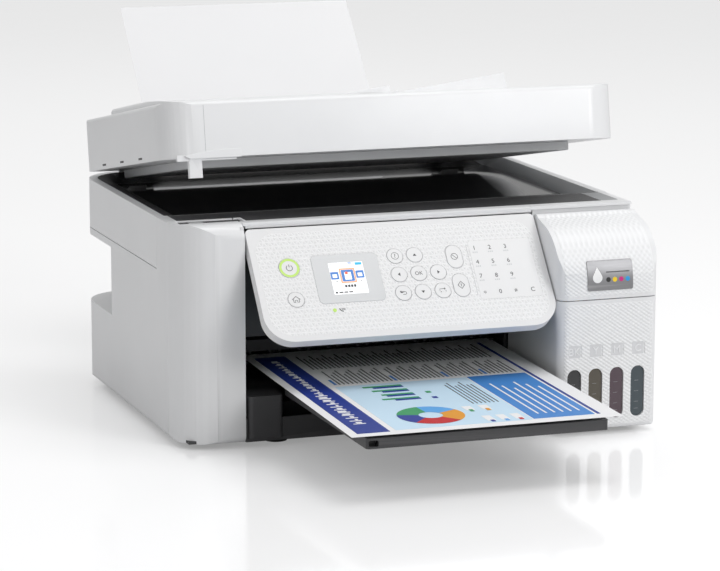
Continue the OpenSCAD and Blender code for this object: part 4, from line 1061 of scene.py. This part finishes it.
@dataclass
class Panel:
    """The tilting control panel: shell, lens, screen, keys, digits and lamps."""

    key_mid: Span = (-2.3, -46.2)
    key_step: float = 16.0
    ring_r: float = 6.2
    ring_w: float = 0.18
    power_ring: Span = (7.0, 1.9)
    pill_half: float = 3.5
    top: float = 0.26
    lamp: Span = (-75.7, -73.0)
    screen_layers: Box = (0.22, 0.27, 0.32, 0.37)
    pills: dict[str, Span] = field(
        default_factory=lambda: {"stop": (29.5, -33.8), "start": (29.5, -58.6)}
    )
    power: Span = (-104.0, -35.0)
    home: Span = (-104.0, -62.0)
    screen: Box = (-73.0, -45.6, -60.0, -33.0)
    columns: tuple[float, ...] = (47.4, 60.1, 72.9, 86.9)
    rows: tuple[float, ...] = (-27.3, -39.5, -51.8, -66.0)

    def build(self) -> None:
        """Builds the shell, then what is on it."""
        bevelled_twin("panel_shell", PANEL_WHITE, "control_panel", 0.8, PANEL)
        bevelled_twin("display_window", LENS_GREY, "control_panel", 0.3, PANEL)
        bevelled_twin("number_keys", KEY_WHITE, "control_panel", 0.01, PANEL)
        self.screen_picture()
        self.keys()
        self.number_pad()
        self.lamps()

    def stamp(
        self,
        name: str,
        loops: Sequence[Loop],
        finish: Finish,
        height: float = 0.05,
        body: str = "control_panel",
    ) -> None:
        """Puts a print on the panel, or on a key where a body is named."""
        decal(name, loops, PANEL, height, finish, body, 0.04)

    def keys(self) -> None:
        """Dresses the keys and prints a ring and a symbol on each."""
        spots = {"help": (-1, 1), "up": (0, 1), "left": (-1, 0), "ok": (0, 0), "right": (1, 0)}
        spots |= {"back": (-1, -1), "down": (0, -1), "more": (1, -1)}
        centres = {
            key: (self.key_mid[0] + i * self.key_step, self.key_mid[1] + j * self.key_step)
            for key, (i, j) in spots.items()
        }
        centres |= self.pills | {"power": self.power, "home": self.home}
        for key, (x, y) in centres.items():
            body = key + "_key"
            bevelled_twin(body, KEY_WHITE, body, 0.25, PANEL)
            if key in self.pills:
                half, edge = self.pill_half, self.ring_w / 2
                rim = [
                    rounded(x - r, x + r, y - half - r, y + half + r, r, 16)[::way]
                    for r, way in ((self.ring_r + edge, 1), (self.ring_r - edge, -1))
                ]
                self.stamp(key + "_ring", rim, PALE_GREY, self.top, body)
            elif key == "power":
                self.stamp(key + "_ring", ring(x, y, *self.power_ring), LIGHT_GREEN, self.top, body)
            else:
                self.stamp(key + "_ring", ring(x, y, self.ring_r, self.ring_w), PALE_GREY, self.top, body)
            self.stamp(key + "_symbol", self.symbol(key, x, y), PRINT_GREY, self.top, body)

    def symbol(self, key: str, x: float, y: float) -> list[Loop]:
        """The outlines of a key's symbol.

        Args:
            key: the key's name.
            x, y: its centre on the panel.

        Returns:
            Closed outlines in millimetres.
        """
        arrow = [(-1.5, -0.9), (1.5, -0.9), (0.0, 1.1)]
        shapes: dict[str, list[Loop]] = {
            "up": [arrow],
            "down": [[(px, -py) for px, py in arrow[::-1]]],
            "left": [[(-py, px) for px, py in arrow]],
            "right": [[(py, -px) for px, py in arrow]],
            "power": [stroke(arc(0, 0, 2.4, 125, 415, 28), 0.5), stroke([(0, 0.6), (0, 3.0)], 0.5)],
            "home": [
                stroke([(-3.1, 0.0), (0.0, 2.7), (3.1, 0.0)], 0.5),
                stroke([(-2.2, 0.2), (-2.2, -2.4), (-0.8, -2.4), (-0.8, -0.6), (0.8, -0.6),
                        (0.8, -2.4), (2.2, -2.4), (2.2, 0.2)], 0.45),
            ],
            "back": [
                stroke([(-1.6, 1.0), (1.2, 1.0)] + arc(1.2, -0.2, 1.2, 80, -80, 10) + [(-0.6, -1.4)], 0.4),
                [(-1.5, 2.1), (-2.9, 1.0), (-1.5, -0.1)],
            ],
            "more": [
                stroke([(-2.4, -0.2), (-2.4, 1.4), (1.2, 1.4)], 0.4),
                [(1.2, 2.3), (2.5, 1.4), (1.2, 0.5)],
                stroke([(2.4, 0.2), (2.4, -1.4), (-1.2, -1.4)], 0.4),
                [(-1.2, -2.3), (-2.5, -1.4), (-1.2, -0.5)],
            ],
            "stop": ring(0, 0, 2.6, 0.4) + [stroke([(-1.5, 1.5), (1.5, -1.5)], 0.4)],
            "start": [
                [(0, 3.4), (-3.0, 0), (0, -3.4), (3.0, 0)], [(0, 2.8), (2.4, 0), (0, -2.8), (-2.4, 0)],
                stroke([(0, -1.3), (0, 1.3)], 0.5),
            ],
            "help": ring(0, 0, 2.9, 0.35),
        }
        if key == "ok":
            return lettering("OK", 3.0, x, y)
        extra = lettering("?", 3.4, x, y) if key == "help" else []
        return [moved(loop, x, y) for loop in shapes[key]] + extra

    def screen_picture(self) -> None:
        """Draws the lit screen: a status row, three icon tiles and two plain bars for words."""
        x0, x1, y0, y1 = self.screen
        light, first, second, third = self.screen_layers
        self.stamp("screen_light", [rounded(x0, x1, y0, y1, 0.4)], SCREEN_WHITE, light)
        row = y1 - 1.7
        tiles = [(-69.7, -44.0, 3.2), (-59.3, -44.4, 4.9), (-49.5, -43.8, 3.2)]
        blue = [rounded(x - r, x + r, y - r, y + r, 0.7) for x, y, r in tiles]
        blue += [stroke(arc(-56.0, row - 1.2, r, 45, 135, 8), 0.35) for r in (1.0, 1.8, 2.6)]
        self.stamp("screen_tiles", blue, SCREEN_BLUE, first)
        frame_x, frame_y, _ = tiles[1]
        edge = [
            rounded(frame_x - r, frame_x + r, frame_y - r, frame_y + r, 0.5)[::way]
            for r, way in ((6.3, 1), (5.1, -1))
        ]
        self.stamp("screen_choice", edge, SCREEN_ORANGE, first)
        cards = [rounded(frame_x - 2.6, frame_x + 2.8, frame_y - 3.6, frame_y + 2.8, 0.3)]
        cards += [rounded(x - 1.8, x + 1.8, y - 1.8, y + 1.2, 0.3) for x, y, _ in (tiles[0], tiles[2])]
        self.stamp("screen_cards", cards, SCREEN_WHITE, second)
        self.stamp("screen_mark", [disc(frame_x - 0.8, frame_y + 2.2, 1.2)], SCREEN_RED, third)
        self.stamp("screen_tag", [rounded(x1 - 6.2, x1 - 0.8, row - 1.1, row + 1.1, 0.5)], SCREEN_CYAN, first)
        dark = [[(x0 + 4.4, -49.9), (x0 + 4.4, -48.5), (x0 + 3.2, -49.2)]]
        dark += [[(x1 - 4.4, -48.5), (x1 - 4.4, -49.9), (x1 - 3.2, -49.2)]]
        dark += [rounded(-63.4 + 2.4 * i, -61.6 + 2.4 * i, -54.4, -52.2, 0.5, 4) for i in range(4)]
        dark += [disc(x0 + 2.0, y0 + 1.6, 0.9, 20)]
        for left in (x0 + 4.0, x0 + 7.9, x0 + 11.8):
            dark += [rounded(left, left + 3.2, y0 + 1.1, y0 + 2.1, 0.3, 4)]
        dark += [stroke([(x0 + 0.9, row), (x0 + 2.2, row + 1.1), (x0 + 3.5, row)], 0.35)]
        self.stamp("screen_words", dark, PRINT_GREY, first)
        rule = [rounded(x0 + 0.5, x1 - 0.5, y0 + 3.5, y0 + 3.75, 0.1, 2)]
        self.stamp("screen_rule", rule, SCREEN_BLUE, first - 0.005)

    def number_pad(self) -> None:
        """Prints the digits, the small marks under them and the dividing line."""
        digits: list[Loop] = []
        marks: list[Loop] = []
        for k in range(9):
            x, y = self.columns[k % 3], self.rows[k // 3]
            digits += lettering(str(k + 1), 3.6, x, y)
            marks += [rounded(x + i, x + i + 1.1, y - 4.4, y - 3.3, 0.3, 4) for i in (-2.1, -0.6, 0.9)]
        for text, x, size in zip("*0#C", self.columns, (2.6, 3.6, 3.0, 3.6)):
            digits += lettering(text, size, x, self.rows[3])
        self.stamp("pad_digits", digits, PRINT_GREY)
        self.stamp("pad_marks", marks, PALE_GREY)
        self.stamp("pad_divider", [rounded(41.0, 41.25, -68.0, -24.0, 0.1, 2)], RING_GREY, 0.02)

    def lamps(self) -> None:
        """Builds the green lamp and the handset symbol under the lens."""
        x, y = self.lamp
        decal("signal_lamp", [disc(x, y, 1.5)], PANEL, 0.0, LIGHT_GREEN, "control_panel", 0.35, 0.15)
        cradle = stroke(arc(x + 7.2, y + 1.9, 3.2, 190, 262, 10), 0.75)
        dashes = [stroke([(x + 5.6, y + h), (x + 8.6, y + h)], 0.4) for h in (1.1, 0.1)]
        self.stamp("handset_symbol", [cradle] + dashes, PRINT_GREY, 0.02)


@dataclass
class Scanner:
    """The scanner unit: frame with its well, glass, hinges and sensor."""

    well_x: float = 182.0
    well_y: Span = (58.0, 290.0)
    right_slope_x: float = 150.0
    rim: Box = (-178.0, 181.0, 57.9, 60.3)

    def build(self) -> None:
        """Builds the frame and paints its well."""
        twin = bevelled_twin("scanner_frame", WHITE, "scanner", 0.5)
        rim = [rounded(*self.rim, 0.2, 2)]
        decal("scanner_rim_trim", rim, GROUND, RIM_Z, BLACK, "scanner", 0.06, 0.0)
        twin.data.materials.append(SLOPE_GREY.material())
        twin.data.materials.append(BLACK.material())
        front, back = (at(0, y, 0).y for y in self.well_y)
        for face in twin.data.polygons:
            mid = face.center / MM
            inside = abs(mid.x) < self.well_x and front < face.center.y < back
            if inside and mid.z < RIM_Z - 0.2 and face.normal.z > 0.02:
                face.material_index = 1 if mid.x > self.right_slope_x and face.normal.x < -0.1 else 2
        bevelled_twin("scanner_glass", GLASS, "scanner", 0.2)
        bevelled_twin("lid_hinges", WHITE, "scanner", 0.3)
        bevelled_twin("sensor_bar", BLACK, "sensor_bar", 0.3)


@dataclass
class DocumentLid:
    """The lid with its feeder: shell, pad, hump cover, input tray and guide."""

    seam_x: float = -156.0
    front_y: float = 24.0
    low_z: float = 178.0
    high_z: float = 214.0
    grip_x: Span = (-173.0, -128.0)
    grip_z: Span = (173.5, 180.0)
    grip_thick: float = 2.0
    slot_y: tuple[float, ...] = (92.0, 148.0, 204.0)
    slot_long: float = 11.0

    def build(self) -> None:
        """Builds the shells and the fine lines on the front."""
        bevelled_twin("lid_shell", LID_WHITE, "document_lid", 0.9, LID)
        bevelled_twin("lid_pad", PAD_GREY, "document_lid", 0.8, LID)
        bevelled_twin("adf_cover", LID_WHITE, "adf_cover", 0.5, LID)
        bevelled_twin("adf_input_tray", WHITE, "adf_input_tray", 0.5, LID)
        bevelled_twin("adf_edge_guide", WHITE, "adf_edge_guide", 0.3, LID)
        front = Plane(LID_HINGE, 90 - LID_OPEN, (0.0, LID_HINGE[2], self.front_y - LID_HINGE[1]))
        seam = [rounded(self.seam_x, self.seam_x + 0.3, self.low_z, self.high_z, 0.1, 2)]
        decal("lid_seam", seam, front, 0.0, RING_GREY, "document_lid", 0.03)
        x0, x1 = self.grip_x
        low, high = self.grip_z
        sweep = [
            (x0 + (x1 - 8 - x0) * t, low + 2.2 + (high - low - 2.2) * math.sin(math.pi / 2 * t) ** 0.8)
            for t in [i / 12 for i in range(13)]
        ]
        blade = sweep + [(x1, high + 0.2), (x1, low), (x0 + 5.0, low)]
        thick = self.grip_thick
        decal("lid_grip", [blade[::-1]], front, -1.2, LID_WHITE, "document_lid", thick, 0.5)
        side = -HALF_W
        slots = [rounded(side - 0.06, side + 1.5, y, y + self.slot_long, 0.3, 2) for y in self.slot_y]
        decal("lid_slots", slots, LID, self.low_z - 1.2, BLACK, "document_lid", 1.6)


@dataclass
class PaperPath:
    """What carries the paper outside and inside: trays, support, guides, rollers and drive."""

    channel_x: Span = (-101.2, -94.0)
    channel_y: Span = (-181.6, -179.8)
    channel_z: float = 40.9
    channel_high: float = 4.6

    def build(self) -> None:
        """Builds the seen pieces and dresses the inner ones."""
        bevelled_twin("paper_support", WHITE, "paper_support", 0.5, FEED)
        for side in ("left", "right"):
            bevelled_twin("edge_guide_" + side, WHITE, "edge_guide_" + side, 0.4, FEED)
        bevelled_twin("output_tray", DARK, "output_tray", 0.4)
        bevelled_twin("tray_stopper", DARK, "tray_stopper", 0.4)
        stop = [rounded(*self.channel_x, *self.channel_y, 0.4, 3)]
        low, high = self.channel_z, self.channel_high
        decal("tray_channel_end", stop, GROUND, low, DARK, "output_tray", high, 0.3)
        inner = {
            "main_rail": (STEEL, "root", "rail_steel"),
            "platen": (BLACK, "root", "black_inner"),
            "star_wheel_bar": (BLACK, "root", "black_inner"),
            "main_board": (BOARD, "root", "board_green"),
            "power_supply": (DARK, "root", "dark_tray"),
            "capping_station": (DARK, "root", "dark_tray"),
            "drive_motors": (STEEL, "root", "motor_metal"),
            "drive_belt": (BELT, "root", "belt_rubber"),
            "feed_roller": (ROLLER, "feed_roller", "roller_rubber"),
            "eject_roller": (ROLLER, "eject_roller", "roller_rubber"),
            "pick_roller": (ROLLER, "pick_roller", "roller_rubber"),
            "adf_roller": (ROLLER, "adf_roller", "roller_rubber"),
            "idler_pulley": (STEEL, "idler_pulley", "motor_metal"),
            "carriage": (DARK, "carriage", "dark_tray"),
            "print_head": (BLACK, "carriage", "dark_tray"),
            "panel_board": (BOARD, "control_panel", "board_green"),
        }
        for node, (finish, body, slot) in inner.items():
            bevelled_twin(node, finish, body, 0.15)


@dataclass
class Sheets:
    """The paper on show: a blank sheet on the support and a printed sheet on the tray."""

    rear_x: float = -5.0
    rear_y: Span = (-80.0, 217.0)
    rear_lift: float = 0.6
    layer: float = 0.12
    width: float = 210.0
    plane: Plane = Plane((0.0, -186.4, 48.8), 1.333)
    x0: float = -114.0
    length: float = 266.0

    def build(self) -> None:
        """Builds both sheets and the print."""
        self.rear_sheet()
        self.printed_sheet()

    def prop(self, name: str, loops: Sequence[Loop], finish: Finish, layer: int) -> None:
        """Adds one layer of the printed sheet."""
        piece = decal(name, loops, self.plane, self.layer * layer, finish, "output_tray", 0.1)

    def rear_sheet(self) -> None:
        """Builds the blank sheet that leans on the paper support."""
        x0 = self.rear_x - self.width / 2
        sheet = [rounded(x0, x0 + self.width, *self.rear_y, 0.3, 2)]
        piece = decal("blank_sheet", sheet, FEED, self.rear_lift, SHEET, "paper_support", 0.15)

    def printed_sheet(self) -> None:
        """Builds the sheet on the tray and its plain page of bars, boxes and a chart."""
        x0, x1 = self.x0, self.x0 + self.width
        self.prop("printed_sheet", [rounded(x0, x1, 0.0, self.length, 0.3, 2)], SHEET, 0)
        bands = [rounded(x0 + 7, x0 + 32, 8, 252, 0.2, 2), rounded(80, 82.6, 11, 252, 0.2, 2)]
        self.prop("page_band", bands, NAVY, 1)
        self.prop("page_box", [rounded(-77, 29, 10, 145, 0.2, 2)], PALE_BLUE, 1)
        self.prop("page_note", [rounded(30, 78, 11, 146, 0.2, 2)], MID_BLUE, 1)
        words, heads = [], []
        for column, start in enumerate((151.0, 203.0)):
            for i in range(43):
                x = -74.0 + 3.5 * i
                long = 38.0 + 7.0 * math.sin(2.1 * i + 1.3 * column)
                target = heads if i in (0, 14, 26, 35) and column == 0 else words
                wide = 2.0 if target is heads else 1.1
                end = start + (16.0 if target is heads else long)
                target.append(rounded(x - wide / 2, x + wide / 2, start, end, 0.3, 2))
        for i in range(7):
            x = 4.0 + 3.3 * i
            words.append(rounded(x, x + 1.0, 66.0, 126.0 + 6.0 * math.sin(2.0 * i), 0.3, 2))
        self.prop("page_words", words, PRINT_GREY, 2)
        self.prop("page_heads", heads, MID_BLUE, 2)
        light = []
        mid = x0 + 19.5
        for i in range(24):
            near, wide = 34.0 + 8.6 * i, 6.0 if i < 11 else 4.0
            start = mid - wide * (0.5 + 0.4 * math.sin(5.0 * i))
            light.append(rounded(mid - wide, mid + wide * 0.6, near, near + 1.8, 0.6, 3))
            light.append(rounded(start, x0 + 21, near + 2.6, near + 6.0, 0.8, 3))
        for i in range(6):
            light.append(rounded(38.0 + 6.5 * i, 39.5 + 6.5 * i, 24.0, 120.0 - 9.0 * (i % 3), 0.4, 2))
        light += [rounded(-8.0 + 13.0 * i, -1.0 + 13.0 * i, 48.0, 60.0, 0.3, 2) for i in range(2)]
        light += [rounded(-4.0 + 11.0 * i, 2.5 + 11.0 * i, 15.0, 30.0, 0.3, 2) for i in range(3)]
        self.prop("page_light", light, SHEET, 2)
        self.chart()

    def chart(self) -> None:
        """Draws the bar chart, the ring chart and the colour chips of their keys."""
        green, navy = [], []
        for i, (long, short) in enumerate(((31, 24), (28, 21), (25, 22), (29, 20))):
            along = 134.0 - 13.0 * i
            green.append(rounded(-27.0 - long, -27.0, along, along + 3.6, 0.1, 2))
            navy.append(rounded(-27.0 - short, -27.0, along - 3.8, along - 0.2, 0.1, 2))
        green.append(rounded(-17.0, -13.0, 107.0, 112.0, 0.1, 2))
        navy.append(rounded(-18.0, -14.0, 90.0, 95.0, 0.1, 2))
        cx, cy, outer, inner = -38.0, 43.0, 25.0, 9.0
        turns = {"green": (95, 165), "blue": (25, 95), "amber": (-50, 25)}
        turns |= {"red": (-135, -50), "navy": (165, 225)}
        slices = {
            tone: [arc(cx, cy, outer, a, b, 14) + arc(cx, cy, inner, b, a, 14)]
            for tone, (a, b) in turns.items()
        }
        slices["green"] += green + [rounded(-6.0, -3.0, 44.0, 50.0, 0.1, 2)]
        slices["amber"] += [rounded(7.0, 10.0, 44.0, 50.0, 0.1, 2)]
        slices["navy"] += navy + [rounded(-2.0, 1.0, 12.0, 17.0, 0.1, 2)]
        slices["blue"] += [rounded(9.0, 12.0, 12.0, 17.0, 0.1, 2)]
        slices["red"] += [rounded(20.0, 23.0, 12.0, 17.0, 0.1, 2)]
        for tone, loops in slices.items():
            self.prop("page_chart_" + tone, loops, CHART[tone], 3)


@dataclass
class Studio:
    """The pale floor, the soft lights and the camera."""

    target: Point = (-64.63, 0.0, 90.0)
    turn: float = 18.896
    drop: float = 11.434
    roll: float = -0.045
    distance: float = 2373.5
    lens: float = 154.98
    shift: Span = (0.03838, 0.05743)
    sensor: float = 36.0
    far: float = 60.0
    floor_half: float = 14.0
    floor_z: float = -0.0004
    surround: float = 0.54
    aim: Point = (0.0, 0.0, 0.1)
    lights: tuple[tuple[str, Point, float, float], ...] = (
        ("key_light", (0.5, -0.3, 2.2), 1.2, 15.0),
        ("front_light", (1.3, -2.3, 1.3), 1.0, 20.0),
        ("left_light", (-2.3, -0.2, 1.4), 1.0, 0.4),
        ("rear_light", (0.4, 1.9, 1.8), 1.6, 5.0),
    )

    def build(self) -> None:
        """Builds the floor, the lights, the world and the camera."""
        self.floor()
        self.world()
        for light in self.lights:
            self.light(*light)
        self.camera()

    def floor(self) -> None:
        """Builds a large glossy pale floor."""
        grid = bmesh.new()
        bmesh.ops.create_grid(grid, x_segments=8, y_segments=8, size=self.floor_half)
        mesh = bpy.data.meshes.new("studio_floor")
        grid.to_mesh(mesh)
        grid.free()
        floor = bpy.data.objects.new("studio_floor", mesh)
        bpy.context.collection.objects.link(floor)
        floor.location.z = self.floor_z
        mesh.materials.append(FLOOR.material())

    def world(self) -> None:
        """Sets an even white surround."""
        world = bpy.data.worlds.new("studio_world")
        world.use_nodes = True
        back = world.node_tree.nodes["Background"]
        back.inputs["Color"].default_value = (1.0, 1.0, 1.0, 1.0)
        back.inputs["Strength"].default_value = self.surround
        bpy.context.scene.world = world

    def light(self, name: str, place: Point, size: float, power: float) -> None:
        """Hangs a square soft light aimed at the middle of the machine."""
        lamp = bpy.data.lights.new(name, "AREA")
        lamp.size = size
        lamp.energy = power
        obj = bpy.data.objects.new(name, lamp)
        bpy.context.collection.objects.link(obj)
        obj.location = place
        aim = Vector(self.aim) - Vector(place)
        obj.rotation_euler = aim.to_track_quat("-Z", "Y").to_euler()

    def camera(self) -> None:
        """Places the camera."""
        az, el = math.radians(self.turn), math.radians(self.drop)
        ahead = Vector((math.sin(az) * math.cos(el), math.cos(az) * math.cos(el), -math.sin(el)))
        data = bpy.data.cameras.new("studio_camera")
        data.lens, data.sensor_width = self.lens, self.sensor
        data.shift_x, data.shift_y = self.shift
        data.clip_end = self.far
        camera = bpy.data.objects.new("studio_camera", data)
        bpy.context.collection.objects.link(camera)
        look = ahead.to_track_quat("-Z", "Y").to_matrix() @ Matrix.Rotation(math.radians(self.roll), 3, "Z")
        spot = at(*self.target) - ahead * self.distance * MM
        camera.matrix_world = Matrix.Translation(spot) @ look.to_4x4()
        bpy.context.scene.camera = camera
        bpy.context.scene.view_settings.view_transform = "Standard"


def main() -> None:
    """Builds the machine piece by piece, then the studio."""
    for part in (Housing(), TankUnit(), Panel(), Scanner(), DocumentLid(), PaperPath(), Sheets(), Studio()):
        part.build()
        log.info("%s: %d pieces in the scene", type(part).__name__, len(bpy.data.objects))


if __name__ == "__main__":
    logging.basicConfig(level=logging.INFO, format="%(message)s")
    main()
